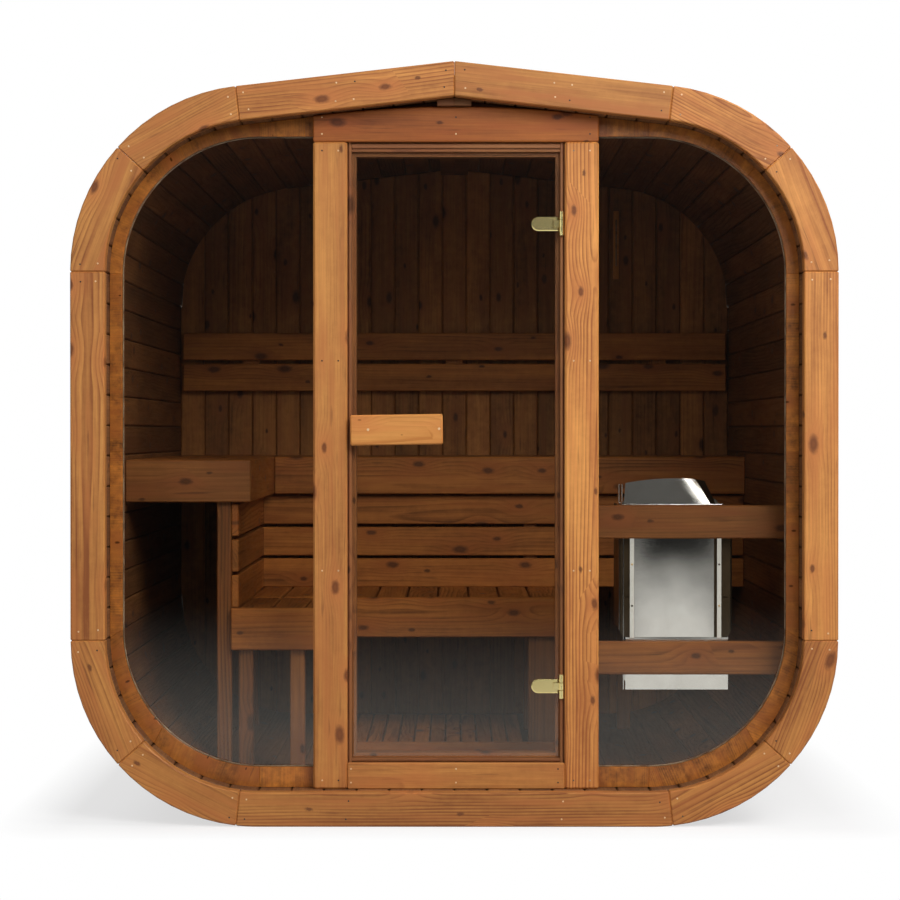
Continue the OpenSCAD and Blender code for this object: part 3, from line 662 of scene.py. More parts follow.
def ring_nails(breaks, y, outward, side):
    """Two nail heads at both ends of each board: the place s that lies a short way from
    each break, at a quarter and three quarters of the board's width."""
    at = np.interp(breaks, FINE_S, RING_MIDDLE)
    at = np.concatenate([at[:-1] + NAIL_END, at[1:] - NAIL_END])
    at = np.repeat(at, 2) + rng.uniform(-0.006, 0.006, 2 * len(at))
    inset = RING_FACE * (np.tile((0.26, 0.76), len(at) // 2) + rng.uniform(-0.05, 0.05, len(at)))
    spots = around(np.interp(at, RING_MIDDLE, FINE_S), inset) * (side, 1)
    return nails(np.insert(spots, 1, y, axis=-1), outward)


for label, (low, high) in (("front", ring_box), ("back", back_ring_box)):
    ys = low.y, high.y
    sides, lows, tops, roofs = (
        [ring_boards(breaks, ys, side, stations) for side in (-1, 1)] for breaks, stations in
        ((WALL_BREAKS, 2), (LOW_BREAKS, 9), (TOP_BREAKS, 9), ((4, 5), 2)))
    # Painted light and shade: the right side and upper right boards, which face the key lamp, take
    # lighter tones than the left ones, and the lower corners and the floor board take dark tones
    # for the shade low on the ring.
    sides = [toned(batch, tone) for batch, tone in zip(sides, (0.33, 0.72))]
    lows = [toned(batch, 0.25) for batch in lows]
    tops = [toned(batch, tone) for batch, tone in zip(tops, (0.20, 0.66))]
    piece(f"{label}_ring_side_boards", sides, trim_wood, f"{label}_ring_sides")
    piece(f"{label}_ring_roof_boards", roofs, trim_wood, f"{label}_ring_top")
    piece(f"{label}_ring_floor_board", [toned(bottom_board(ys), 0.1)], trim_wood,
          f"{label}_ring_bottom")
    if label == "front":
        piece("front_ring_upper_corner_boards", tops, trim_wood, "front_ring_top_corners")
        piece("front_ring_lower_corner_boards", lows, trim_wood, "front_ring_low_corners")
    else:
        piece("back_ring_corner_boards", tops + lows, trim_wood, "back_ring_corners")
    y, outward = (low.y, FRONT) if label == "front" else (high.y, -FRONT)
    heads = [ring_nails(breaks, y, outward, side) for side in (-1, 1) for breaks in
             (LOW_BREAKS, WALL_BREAKS, TOP_BREAKS, (4, 4.5, 5), (0.5, 1 + EXTRA))]
    piece(f"{label}_ring_nails", heads, nail_head)

# %% [markdown]
# ## Staves, ceiling and roof
# Between the rings the cabin is built like a barrel: narrow staves from front to back, each
# flat, with a dark line where two meet and a tongue behind it that keeps the joint shut. A
# smooth tube with painted lines would be lighter, but it would lose the facets that catch
# the light round the corners.

# %% Staves
STAVE_W, STAVE_GAP, STAVE_EASE, TONGUE = 0.082, 0.0022, 0.0035, 0.012
ROOF_T, ROOF_DROP, SLOPE_BOARD, CORNER_BOARD = 0.022, 34.0, 0.12, 0.10


def stave_stretch(s0, s1, outer, inner, side, width=STAVE_W):
    """Equal staves along one stretch of the outline, measured half way through their depth,
    and the tongue in each joint, which closes the gap between two staves."""
    middle = measured((outer + inner) / 2)
    starts, ends = row(*np.interp((s0, s1), FINE_S, middle), width)
    closed = ends - STAVE_GAP / 2
    if s1 == 5:
        closed[-1] = ends[-1]   # the last boards of both slopes touch at the ridge

    def laid(first, last, depth, ease):
        first, last = np.interp(first, middle, FINE_S), np.interp(last, middle, FINE_S)
        return outline_boards(first, last, outer + depth, inner - depth,
                              (floor_low.y, floor_high.y), side, ease)

    depth = (inner - outer) / 3
    return [laid(starts + STAVE_GAP / 2, closed, 0, STAVE_EASE),
            laid(starts - TONGUE / 2, starts + TONGUE / 2, depth, depth / 8)]


def shell_piece(name, s0, s1, sides, node):
    """One CAD part of the shell as staves."""
    rows = [stave_stretch(s0, s1, SHELL_OUT, RING_FACE, side) for side in sides]
    piece(name, sum(rows, []), stave_wood, node)


shell_piece("floor_staves", 0, 1, (-1, 1), "shell_floor")
roof_in = SHELL_OUT - FIT
roof_start = 4 - ROOF_DROP / (90.0 - PITCH_DEGREES)
for side, label in ((-1, "left"), (1, "right")):
    shell_piece(f"lower_corner_staves_{label}", 1, 2, (side,), f"shell_corner_low_{label}")
    shell_piece(f"wall_staves_{label}", 2, 3, (side,), f"shell_{label}")
    shell_piece(f"upper_corner_staves_{label}", 3, 4, (side,), f"shell_corner_top_{label}")
    shell_piece(f"ceiling_staves_{label}", 4, 5, (side,), f"ceiling_{label}")
    over = [batch for s0, s1, width in ((roof_start, 4, CORNER_BOARD), (4, 5, SLOPE_BOARD))
            for batch in stave_stretch(s0, s1, roof_in - ROOF_T, roof_in, side, width)]
    piece(f"roof_boards_{label}", over, roof_wood, f"roof_{label}")

# %% [markdown]
# ## Ridge strip, bearers and end walls
# The strip under the ridge hides where the two ceiling slopes meet. The back wall is upright
# boards cut to the outline, so each board's ends follow the curve. That is why a wall board
# here is a run of narrow stations across its width instead of a plain box.

# %% Walls
INSIDE = RING_FACE + FIT
INSIDE_R, INSIDE_X = CORNER_R - INSIDE, HALF_W - INSIDE


def arc(out):
    """How far an inner corner's arc stands off its centre, at a distance out along it."""
    return np.sqrt(np.maximum(INSIDE_R ** 2 - np.maximum(out, 0.0) ** 2, 0.0))


def floor_at(x):
    """Height of the inner outline's floor at x: level, then the lower corner's arc."""
    return LOW_Z - arc(np.abs(x) - CORNER_X)


def roof_at(x):
    """Height of the inner outline's top at x: the roof slope, then the upper corner's arc."""
    across = np.abs(x)
    slope = ridge_z(INSIDE) - across * math.tan(PITCH)
    arched = HIGH_Z + arc(across - CORNER_X)
    return np.where(across < CORNER_X + INSIDE_R * math.sin(PITCH), slope, arched)


def wall_at(z):
    """Half width of the inner outline at a height: the wall, less what the arcs take off."""
    return CORNER_X + arc(np.maximum(LOW_Z - z, z - HIGH_Z))


def upright_boards(x0, x1, foot, head, y0, y1, stations=2, ease=0.0025, along=(0, 0, 1)):
    """Boards between two heights, each a number or a curve of x: stations run across them."""
    x = np.linspace(np.atleast_1d(x0), np.atleast_1d(x1), stations, axis=1)
    low, high = (np.stack([x, curve(x) if callable(curve) else x * 0 + curve], axis=-1)
                 for curve in (foot, head))
    return boards(edge_lines((low, y0), (low, y1), (high, y1), (high, y0)), along=along,
                  ease=ease)


back_low, back_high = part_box("back_wall")
starts, ends = row(-INSIDE_X, INSIDE_X, STAVE_W)
joints = starts[1:]
TONGUE_IN = 0.012
piece("back_wall_boards", [
    upright_boards(np.append(starts[0], joints + STAVE_GAP / 2),
                   np.append(ends[:-1] - STAVE_GAP / 2, ends[-1]),
                   floor_at, roof_at, back_low.y, back_high.y, 9, STAVE_EASE),
    upright_boards(joints - TONGUE / 2, joints + TONGUE / 2, floor_at, roof_at,
                   back_low.y + TONGUE_IN, back_high.y - TONGUE_IN, 3, 0.001)],
      wall_wood, "back_wall")

low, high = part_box("ridge_strip")
piece("ridge_strip_board", [upright_boards((low.x, 0.0), (0.0, high.x), low.z, roof_at,
                                           low.y, high.y, ease=0.001, along=(0, 1, 0))],
      stave_wood, "ridge_strip")

low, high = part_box("bearers")
BEARER_W, BEARERS = 0.092, 3
lows = [(low.x, y, low.z) for y in np.linspace(low.y, high.y - BEARER_W, BEARERS)]
piece("cross_bearers", [straight(lows, np.add(lows, (high.x - low.x, BEARER_W, high.z - low.z)),
                                 0, 0.004)], stave_wood, "bearers")

# %% [markdown]
# ## Wall frames round the side panes
# Beside the door the front wall is only a frame: a band that follows the ring, cut from
# short boards whose grain runs across the band, and a stud behind the door post. The hole's
# outline is four straight lines and two arcs about the same centres as the ring's corners.
# A pale bead of sealant runs along it, on the glass.

# %% Pane outline and wall frames
pane_low, pane_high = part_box("window_right")
wall_y0, wall_y1 = (corner.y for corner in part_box("wall_frame_right"))
HOLE_R = pane_high.x + FIT - CORNER_X
HOLE_FOOT, HOLE_HIGH = pane_low.z - FIT, pane_high.z + FIT
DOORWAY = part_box("door_post_left")[1].x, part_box("door_post_right")[0].x


def hole_path(t, inset=0.0):
    """Point (x, z) of a pane's hole, for t from 0 to 5: foot, lower corner, wall, upper
    corner, top. Straight lines join arcs of radius HOLE_R less the inset."""
    angle = np.interp(t, (1, 2, 3, 4), TURNS)
    reach = np.interp(t, (0, 1, 4, 5), (pane_low.x, CORNER_X, CORNER_X, pane_low.x))
    level = np.interp(t, (2, 3), (HOLE_FOOT + HOLE_R, HOLE_HIGH - HOLE_R))
    radius = HOLE_R - inset
    return np.stack([reach + radius * np.cos(angle), level + radius * np.sin(angle)], axis=-1)


def ring_path(t):
    """The point of the wall's outer edge that lies opposite hole_path's: straight below or
    above it on the level parts, and at the same angle on the arcs."""
    across, level = hole_path(t).T
    turned_x = CORNER_X + INSIDE_R * np.cos(np.interp(t, (1, 2, 3, 4), TURNS))
    x = np.where((t >= 1) & (t <= 4), turned_x, across)
    beside = np.where(t < 3, np.clip(level, LOW_Z, HIGH_Z), roof_at(x))
    return np.stack([x, np.where(t <= 2, floor_at(x), beside)], axis=-1)


# from t, to t, and which way the grain runs
BAND = ((0, 1, (0, 0, 1)), (1, 1.5, (-0.4, 0, 0.9)), (1.5, 2, (-0.9, 0, 0.4)),
        (2, 2.5, (1, 0, 0)), (2.5, 3, (1, 0, 0)), (3, 3.5, (0.9, 0, 0.4)),
        (3.5, 4, (0.4, 0, 0.9)), (4, 5, (0, 0, 1)))
SEAL_W, SEAL_Y, SEAL_EASE = 0.0032, pane_low.y - 0.0025, 0.001
seal_t = np.concatenate([[0], np.linspace(1, 2, 25), np.linspace(3, 4, 25), [5]])
for side, label, post_x in ((-1, "left", DOORWAY[0]), (1, "right", DOORWAY[1])):
    band = []
    for first, last, along in BAND:
        t = np.linspace(first, last, 17 if along[0] * along[2] else 2)
        inner, outer = (path[None] * (side, 1) for path in (hole_path(t), ring_path(t)))
        quads = edge_lines((outer, wall_y0), (inner, wall_y0), (inner, wall_y1), (outer, wall_y1))
        band.append(boards(quads, along=np.multiply(along, (side, 1, 1)), ease=SEAL_EASE))
    stud = sorted((side * (pane_low.x - FIT), post_x))
    band.append(upright_boards(*stud, floor_at, roof_at, wall_y0, wall_y1))
    piece(f"wall_frame_{label}_band", band, frame_wood, f"wall_frame_{label}")
    edge, lip = (hole_path(seal_t, inset)[None] * (side, 1) for inset in (0, SEAL_W))
    quads = edge_lines((edge, pane_low.y), (edge, SEAL_Y), (lip, SEAL_Y), (lip, pane_low.y))
    piece(f"pane_seal_{label}", [boards(quads, ease=SEAL_EASE)], pane_seal)

# %% [markdown]
# ## Door frame
# Two posts carry a head board with an arched top edge, and a sill board closes the foot.
# Inside them runs a moulding: a groove, a rounded bead, then a step behind the glass that
# the door closes against. A moulding is one flat profile pushed along a line.

# %% Posts, head and sill
NAIL_SIDE, POST_NAILS, SILL_LEFT, SILL_RIGHT = 0.024, 4, 0.010, 0.018
HEAD_NAILS, SILL_NAILS = (0.021, 0.066), (0.016, 0.053)   # up from the foot, down from the top
heads = []
for node in ("door_post_left", "door_post_right"):
    low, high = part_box(node)
    piece(f"{node}_board", [straight(low, high, 2, 0.005)], trim_wood, node)
    levels = np.linspace(low.z + NAIL_SIDE, high.z - NAIL_SIDE, POST_NAILS)
    heads.append(nails([(x, low.y, z) for x in (low.x + NAIL_SIDE, high.x - NAIL_SIDE)
                        for z in levels]))
head_low, head_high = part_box("door_head_board")
head_mid, head_half = (head_low.x + head_high.x) / 2, (head_high.x - head_low.x) / 2
rise = head_high.z - float(roof_at(max(head_high.x, -head_low.x))) + FIT
arch_r = (head_half ** 2 + rise ** 2) / (2 * rise)


def arch(x):
    """The head board's top edge: one long arc through its ends and its middle."""
    return head_high.z - arch_r + np.sqrt(arch_r ** 2 - (x - head_mid) ** 2)


piece("door_head_arched_board", [
    upright_boards(head_low.x, head_high.x, head_low.z, arch, head_low.y, head_high.y,
                   stations=33, ease=0.003, along=(1, 0, 0))], header_shaded_wood, "door_head_board")
sill_low, sill_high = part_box("door_sill_board")
sill_x = (sill_low.x + SILL_LEFT, (sill_low.x + sill_high.x) / 2, sill_high.x - SILL_RIGHT)
# The sill takes a low tone: painted shade, as on the ring's lower boards.
piece("door_sill_eased_board", [toned(straight(sill_low, sill_high, 0), 0.2)], trim_wood,
      "door_sill_board")
heads += [nails([(x, head_low.y, head_low.z + up) for up in HEAD_NAILS
                 for x in (head_low.x + NAIL_SIDE, head_mid, head_high.x - NAIL_SIDE)]),
          nails([(x, sill_low.y, sill_high.z - down) for down in SILL_NAILS for x in sill_x])]
piece("door_frame_nails", heads, nail_head)

# %% Mouldings inside the door frame
glass_low, glass_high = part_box("door_glass")
jamb_low, jamb_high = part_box("door_jamb_left")
GROOVE, ROUND, DOOR_GAP = 0.006, 0.0014, 0.005
JAMB_W = glass_low.x - DOOR_GAP - DOORWAY[0]
HEAD_STRIP = head_low.z - (glass_high.z + DOOR_GAP)
STOP_LAP = jamb_high.x - jamb_low.x - JAMB_W
stop_in = glass_high.y + DOOR_GAP - jamb_low.y
wall_in = jamb_high.y - jamb_low.y


def bead(start, end, drop=0.0):
    """Profile points (u, v) of a rounded bead between two places across the moulding."""
    return [(start, GROOVE), (start, drop + ROUND), (start + ROUND, drop), (end - ROUND, drop),
            (end, drop + ROUND)]


def moulding(profile, origin, across, run):
    """A bar of one profile: points origin + u across + v backwards, at both ends of run."""
    profile, across, run = (np.array(part, float) for part in (profile, across, run))
    section = np.array(origin) + profile[:, :1] * across - profile[:, 1:] * FRONT
    points, faces = tubes(np.stack([section, section + run])[None])
    chance = (rng.uniform(0, 60), rng.uniform(0.01, 0.1), rng.uniform(0.01, 0.1))
    grain = np.stack([points @ unit(run), points @ across, points[:, 1]], axis=-1)
    return points, faces, grain + chance, np.full(len(points), rng.uniform(0, 1))


lap_x = JAMB_W + STOP_LAP
jamb_profile = [(0, GROOVE), *bead(0.0038, JAMB_W), (JAMB_W, stop_in), (lap_x, stop_in),
                (lap_x, wall_in), (0, wall_in)]
for node, x, side in (("door_jamb_left", DOORWAY[0], 1), ("door_jamb_right", DOORWAY[1], -1)):
    bar = moulding(jamb_profile, (x, jamb_low.y, sill_high.z), (side, 0, 0),
                   (0, 0, head_low.z - sill_high.z))
    piece(f"{node}_moulding", [bar], jamb_shaded_wood, node)
wide = (DOORWAY[0] + JAMB_W, DOORWAY[1] - JAMB_W)
narrow = (wide[0] + STOP_LAP, wide[1] - STOP_LAP)
head_steps = (*bead(0.004, 0.016), (0.016, GROOVE), *bead(0.0205, HEAD_STRIP, 0.002))
end_bars = []
for z, up, width, steps in ((head_low.z, -1, HEAD_STRIP, head_steps),
                            (sill_high.z, 1, JAMB_W, bead(0.0035, JAMB_W))):
    face = [(0, GROOVE), *steps, (width, stop_in), (0, stop_in)]
    lap = [(0, stop_in), (width + STOP_LAP, stop_in), (width + STOP_LAP, wall_in), (0, wall_in)]
    for profile, (x0, x1) in ((face, wide), (lap, narrow)):
        end_bars.append(moulding(profile, (x0, jamb_low.y, z), (0, 0, up), (x1 - x0, 0, 0)))
piece("door_end_mouldings", end_bars, jamb_shaded_wood, "door_end_strips")

# %% [markdown]
# ## Frame pieces that keep their shape
# The wall over the door, the panes and the hinge barrels already have their true shape in
# the frame. They only get their finish, by assigning it to the object's material slots.

# %% Finishes on the frame's own pieces
FINISHES = {"wall_over_door": lintel_wood, "window_left": tinted_glass,
            "window_right": tinted_glass, "door_glass": tinted_glass,
            "hinge_knuckles": hinge_brass}
for node, finish in FINISHES.items():
    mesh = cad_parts[node].data
    mesh.materials.clear()
    mesh.materials.append(finish)
print(len(FINISHES), "frame pieces finished")

# %% [markdown]
# ## Hinge plates
# Each hinge grips the glass between two brass plates, round at the free end. The front plate
# has a wide bevel, which is what makes its rim shine. A lug ties it to the middle knuckle.

# %% Hinges
HINGE_IN, PLATE_L, PLATE_H, PLATE_T, BEVEL = 0.190, 0.073, 0.038, 0.004, 0.0022
PLATE_CUT, SHOULDER = 0.012, 0.6 * BEVEL
BARREL_R, BARREL_L, SLACK, HINGE_EASE = 0.0065, 0.065, 0.0006, 0.0005
LUG_IN, LUG_OUT, FLAP_IN, FLAP_BACK = 0.014, 0.001, 0.002, 0.0025
KNUCKLE = BARREL_L / 6 - SLACK   # half the middle knuckle's length
knuckle_low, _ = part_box("hinge_knuckles")
pin_x, pin_y = knuckle_low.x + BARREL_R, knuckle_low.y + BARREL_R


def plate(end, z, y0, y1, cut=0.0):
    """A plate with one round end: its outline drawn three times, first smaller by a bevel.
    A plate that is cut short at its straight end lies behind the glass and faces backwards."""
    angle = np.linspace(math.pi / 2, 3 * math.pi / 2, 17)
    half = PLATE_H / 2

    def outline(y, less):
        arm = half - less
        x = np.append(end - PLATE_L + half + arm * np.cos(angle), [end - cut - less] * 2)
        level = np.append(z + arm * np.sin(angle), (z - arm, z + arm))
        return np.stack([x, np.full_like(x, y), level], axis=-1)

    near, rest, onward = (y1, y0, -1) if cut else (y0, y1, 1)
    steps = (near, BEVEL), (near + onward * SHOULDER, 0), (rest, 0)
    return tubes(np.stack([outline(y, less) for y, less in steps])[None])


leaves = []
for z in (glass_low.z + HINGE_IN, glass_high.z - HINGE_IN):
    foot, top = z - KNUCKLE, z + KNUCKLE
    leaves += [plate(glass_high.x, z, glass_low.y - PLATE_T, glass_low.y),
               plate(glass_high.x, z, glass_high.y, glass_high.y + PLATE_T, PLATE_CUT),
               rods((pin_x, pin_y, foot), (pin_x, pin_y, top), BARREL_R, 24, SLACK)[:2],
               straight((glass_high.x - FLAP_IN, pin_y, foot),
                        (pin_x, jamb_low.y - FLAP_BACK, top), 2, HINGE_EASE)[:2],
               straight((glass_high.x - LUG_IN, pin_y + SLACK, foot + SLACK),
                        (glass_high.x - LUG_OUT, glass_low.y, top - SLACK), 2, HINGE_EASE)[:2]]
piece("hinge_plate_leaves", leaves, hinge_brass, "hinge_plates", body="door")

# %% [markdown]
# ## Door handle
# The handle is a plain board of pale pine outside and another inside, bolted through the
# glass on two short bars. The board sits a little crooked, as it does on the real door.

# %% Handles
HANDLE_L, INSIDE_L, HANDLE_H, HANDLE_T = 0.250, 0.188, 0.082, 0.020
HANDLE_TILT, HANDLE_EASE = math.radians(0.8), 0.0035
BAR_X, BAR_R, BAR_EASE = HANDLE_L / 3, 0.007, 0.0005
SCREW_X, SCREW_UP, SCREW_R = (-0.077, 0.115), 0.001, 0.0036


def tilted(points, centre):
    """Points turned by the handle's tilt about a level line from front to back."""
    c, s = math.cos(HANDLE_TILT), math.sin(HANDLE_TILT)
    x, y, z = np.moveaxis(points - centre, -1, 0)
    return centre + np.stack([x * c - z * s, y, x * s + z * c], axis=-1)


for node, length, outside in (("door_handle", HANDLE_L, True),
                              ("door_handle_inside", INSIDE_L, False)):
    low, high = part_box(node)
    centre = np.array([(low.x + high.x) / 2, 0.0, (low.z + high.z) / 2])
    y0 = low.y if outside else high.y - HANDLE_T
    corner = centre + (-length / 2, y0, -HANDLE_H / 2)
    points, *rest = straight(corner, corner + (length, HANDLE_T, HANDLE_H), 0, HANDLE_EASE)
    middle = y0 + HANDLE_T / 2
    near, far = (middle, high.y) if outside else (low.y, middle)
    ends = centre + np.array([[(x, y, 0) for x in (-BAR_X, BAR_X)] for y in (near, far)])
    bars = rods(*ends, BAR_R, ease=BAR_EASE)
    piece(f"{node}_board", [(tilted(points, centre), *rest), bars], handle_wood, node, body="door")
    if outside:
        spots = tilted(centre + np.array([(x, y0, SCREW_UP) for x in SCREW_X]), centre)
        piece("door_handle_screws", [nails(spots, radius=SCREW_R)], nail_head, body="door")

# %% [markdown]
# ## Benches
# The benches are slats on battens with deep front boards. From the front only the edges and
# the front boards show, but from above the gaps between the slats matter, so every slat is a
# board. Rows of boards come from one helper, which places them along one axis.

# %% Upper benches
BATTENS_REAR, BATTENS_LEFT = (-0.85, -0.3, 0.3, 0.85), (-0.45, 0.0, 0.25)
SEAT_T, FASCIA_T, SLAT_W, SLAT_GAP, REST_GAP = 0.028, 0.028, 0.090, 0.008, 0.004
BATTEN_W, BATTEN_H = 0.044, 0.030
rear_low, rear_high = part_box("upper_bench_rear")
left_low, left_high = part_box("upper_bench_left")
seat_under = rear_high.z - SEAT_T


def spaced(axis, starts, ends, low, high, run, ease=0.003):
    """Boards in a row: starts and ends place them along one axis, the corners low and high
    say what they fill of the others, and the grain follows the axis run."""
    lows, highs = (np.tile(np.array(corner, float), (len(starts), 1)) for corner in (low, high))
    lows[:, axis], highs[:, axis] = starts, ends
    return straight(lows, highs, run, ease)


def battens(run, places, low, high):
    """Battens under slats that follow run: short boards across them at the given places."""
    places = np.array(places)
    under = (*low[:2], high[2] - BATTEN_H)
    return spaced(run, places - BATTEN_W / 2, places + BATTEN_W / 2, under, high, 1 - run, 0.002)


rear_y, left_x = rear_low.y + FASCIA_T, left_high.x - FASCIA_T
piece("upper_bench_rear_boards", [
    spaced(1, *row(rear_y + REST_GAP, rear_high.y, SLAT_W, SLAT_GAP),
           (rear_low.x, 0, seat_under), rear_high, 0),
    battens(0, BATTENS_REAR, (0, rear_y), (0, rear_high.y, seat_under)),
    straight((left_high.x, *rear_low[1:]), (rear_high.x, rear_y, rear_high.z), 0)],
      bench_wood, "upper_bench_rear")
left_y = left_low.y + FASCIA_T
piece("upper_bench_left_boards", [
    spaced(0, *row(left_low.x, left_x - REST_GAP, SLAT_W, SLAT_GAP),
           (0, left_y + REST_GAP, seat_under), left_high, 1),
    battens(1, BATTENS_LEFT, (left_low.x, 0), (left_x, 0, seat_under)),
    straight((left_x, left_y, left_low.z), left_high, 1)], bench_wood, "upper_bench_left")
# The left bench's front board takes the darker rail finish and a low tone: painted shade, where the
# other fronts use the bench finish.
shaded_left_front = straight(left_low, (left_high.x, left_y, left_high.z), 0)
piece("upper_bench_left_front", [toned(shaded_left_front, 0.3)], rail_wood)

# %% Lower bench
bench_low, bench_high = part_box("lower_bench")
skirts = {node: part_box(node) for node in ("skirt_rear", "skirt_left")}
ARM_W, LOWER_DEPTH = 0.267, 0.519
LOWER_PITCH, LOWER_GAP, LOWER_LEAD, THINNEST = 0.0943, 0.006, 0.023, 0.006
END_GAP, SIDE_GAP = 0.003, 0.002
BATTENS_ARM, BATTENS_LOWER = (-0.45, -0.22), (0.0, 0.32)
under = bench_high.z - SEAT_T
rear_foot, rear_top = skirts["skirt_rear"]
left_edge = skirts["skirt_left"][1].x
arm_x = left_edge + ARM_W
lower_front = rear_foot.y - LOWER_DEPTH
arm_in, bench_in = arm_x - FASCIA_T, bench_high.x - FASCIA_T
near_in, front_in = bench_low.y + FASCIA_T, lower_front + FASCIA_T


def cut_slats(end):
    """Slats at one pitch from a little left of the bench, cut off at both its ends."""
    starts = np.arange(bench_low.x + LOWER_LEAD - LOWER_PITCH, end, LOWER_PITCH)
    starts, ends = np.clip((starts, starts + LOWER_PITCH - LOWER_GAP), bench_low.x, end)
    whole = ends - starts > THINNEST
    return starts[whole], ends[whole]


fascias = (  # the level axis each one follows, and where it starts and ends
    (0, bench_low.x, bench_low.y, arm_x, near_in), (1, arm_in, near_in, arm_x, lower_front),
    (0, arm_in, lower_front, bench_high.x, front_in),
    (1, bench_in, front_in, bench_high.x, rear_foot.y))
piece("lower_bench_boards", [
    spaced(0, *cut_slats(arm_in - END_GAP), (0, near_in + SIDE_GAP, under),
           (0, lower_front, bench_high.z), 1),
    spaced(0, *cut_slats(bench_in - END_GAP), (0, front_in + SIDE_GAP, under),
           (0, rear_top.y, bench_high.z), 1),
    battens(1, BATTENS_ARM, (bench_low.x, 0), (arm_in, 0, under)),
    battens(1, BATTENS_LOWER, (bench_low.x, 0), (bench_in, 0, under)),
    *(straight((x0, y0, bench_low.z), (x1, y1, bench_high.z), run)
      for run, x0, y0, x1, y1 in fascias)], bench_wood, "lower_bench")

# %% Skirts and legs
SKIRT_H, SKIRT_GAP, SKIRT_BOARDS = 0.092, 0.010, 3
for run, (node, (low, high)) in enumerate(skirts.items()):
    z = low.z + (SKIRT_H + SKIRT_GAP) * np.arange(SKIRT_BOARDS)
    piece(f"{node}_boards", [spaced(2, z, z + SKIRT_H, low, high, run, 0.0025)], bench_wood, node)

LEG, WIDE_LEG, WIDE_IN, ARM_LEG_IN = 0.042, 0.087, 0.108, 0.050
back = rear_top.y
wide_x = bench_high.x - WIDE_IN - WIDE_LEG
LEGS = (  # left side, front face, width, top
    (bench_low.x - LEG, near_in, LEG, seat_under), (bench_low.x - LEG, back, LEG, seat_under),
    (wide_x, back, LEG, seat_under), (CORNER_X, back, LEG, seat_under),
    (left_edge, near_in, LEG, under), (arm_in - ARM_LEG_IN - LEG, near_in, LEG, under),
    (wide_x, front_in, WIDE_LEG, under))
piece("bench_leg_posts", [upright_boards(x, x + width, floor_at, top, y, y + LEG, 3, 0.003)
                          for x, y, width, top in LEGS], rail_wood, "bench_legs")

# %% Backrest and floor grid
rest_low, rest_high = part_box("backrest")
REST_H, REST_T, BLOCK_T, BLOCK_W, BLOCK_OUT = 0.092, 0.020, 0.028, 0.060, 0.75
rest_y = rest_high.y - BLOCK_T
z = np.array([rest_low.z, rest_high.z - REST_H])
block_x = rest_high.x * BLOCK_OUT * np.array([-1, 0, 1])
blocks = spaced(0, block_x - BLOCK_W / 2, block_x + BLOCK_W / 2,
                (0, rest_y, rest_low.z), rest_high, 2)
rests = spaced(2, z, z + REST_H, (rest_low.x, rest_y - REST_T, 0), (rest_high.x, rest_y, 0), 0)
piece("backrest_boards", [toned(rests, 1.0), blocks], bench_wood, "backrest")

grid_low, grid_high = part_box("floor_grid")
GRID_W, GRID_PITCH, GRID_SLATS, GRID_BATTEN = 0.042, 0.047, 11, 0.017
grid_x = grid_low.x + GRID_PITCH * np.arange(GRID_SLATS)
grid_y = grid_low.y + SEAT_T
batten_y = np.linspace(grid_y, grid_high.y - LEG, 3)
batten_z = grid_low.z + GRID_BATTEN
piece("floor_grid_slats", [
    spaced(0, grid_x, grid_x + GRID_W, (0, grid_y, batten_z), grid_high, 1),
    straight(grid_low, (grid_high.x, grid_y, grid_high.z), 0),
    spaced(1, batten_y, batten_y + LEG, grid_low, (grid_x[-1] + GRID_W, 0, batten_z), 0, 0.002)],
      bench_wood, "floor_grid")

# %% [markdown]
# ## Rails and heater
# Two rails cross the right side behind the glass and carry the heater. Their outer ends are
# cut to the rounded wall. The heater is a folded steel box in a darker jacket, with a
# sloping hood, full of split stones. Thin sheet is never quite flat: pressed panels belly
# out by a few millimetres, and that curve is what a mirror-bright sheet shows. So a panel
# here is a fine grid with a belly in it, shaded smooth, and not a flat box.

# %% Rails
rails_low, rails_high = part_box("heater_rails")
plate_low, plate_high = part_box("heater_back_plate")
RAIL_H, RAIL_T = 0.092, 0.028
rail_y = plate_low.y - RAIL_T
rails = []
# The upper rail takes the darkest tone and the lower one the lightest: painted shade on the upper
# rail.
for z0, tone in ((rails_low.z, 1.0), (rails_high.z - RAIL_H, 0.0)):
    foot, head = ([[(rails_low.x, z), (wall_at(z), z)]] for z in (z0, z0 + RAIL_H))
    quads = edge_lines((foot, rail_y), (head, rail_y), (head, plate_low.y), (foot, plate_low.y))
    rails.append(toned(boards(quads, ease=0.003), tone))
rails.append(straight(rails_low, (rails_low.x + LEG, rail_y, rails_high.z), 2))
piece("heater_rail_boards", rails, rail_wood, "heater_rails")

# %% Sheet metal
SHEET, SHEET_EASE = 0.003, 0.0005


def panel(corners, belly=0.0, thick=SHEET, arch=0.0, curl=0.0, count=25):
    """A sheet between four corners: low left, low right, high right, high left.

    With u and v running from -1 to 1 across and up, straight lines between the corners give
    a flat grid; its points move outwards by belly (1 - u u)(1 - v v) + curl (1 - u u), and
    the upper edge rises by arch (1 - u u)."""
    a, b, c, d = (np.array(corner, float) for corner in corners)
    u, v = np.meshgrid(np.linspace(-1, 1, count), np.linspace(-1, 1, count))
    u, v = u[..., None], v[..., None]
    left, right = a + (d - a) * (v + 1) / 2, b + (c - b) * (v + 1) / 2
    up = unit(c + d - a - b)
    outward = unit(np.cross(b - a, up))
    face = left + (right - left) * (u + 1) / 2 + up * arch * (1 - u * u) * (v + 1) / 2
    front = face + outward * (belly * (1 - v * v) + curl) * (1 - u * u)
    rear = face + outward * (curl * (1 - u * u) - thick)
    return tubes(np.concatenate([front, rear[:, ::-1]], axis=1)[None])


def level_panel(x0, x1, foot, head, belly, thick):
    """A panel with level edges: foot and head are their places (y, z)."""
    return panel([(x0, *foot), (x1, *foot), (x1, *head), (x0, *head)], belly, thick)


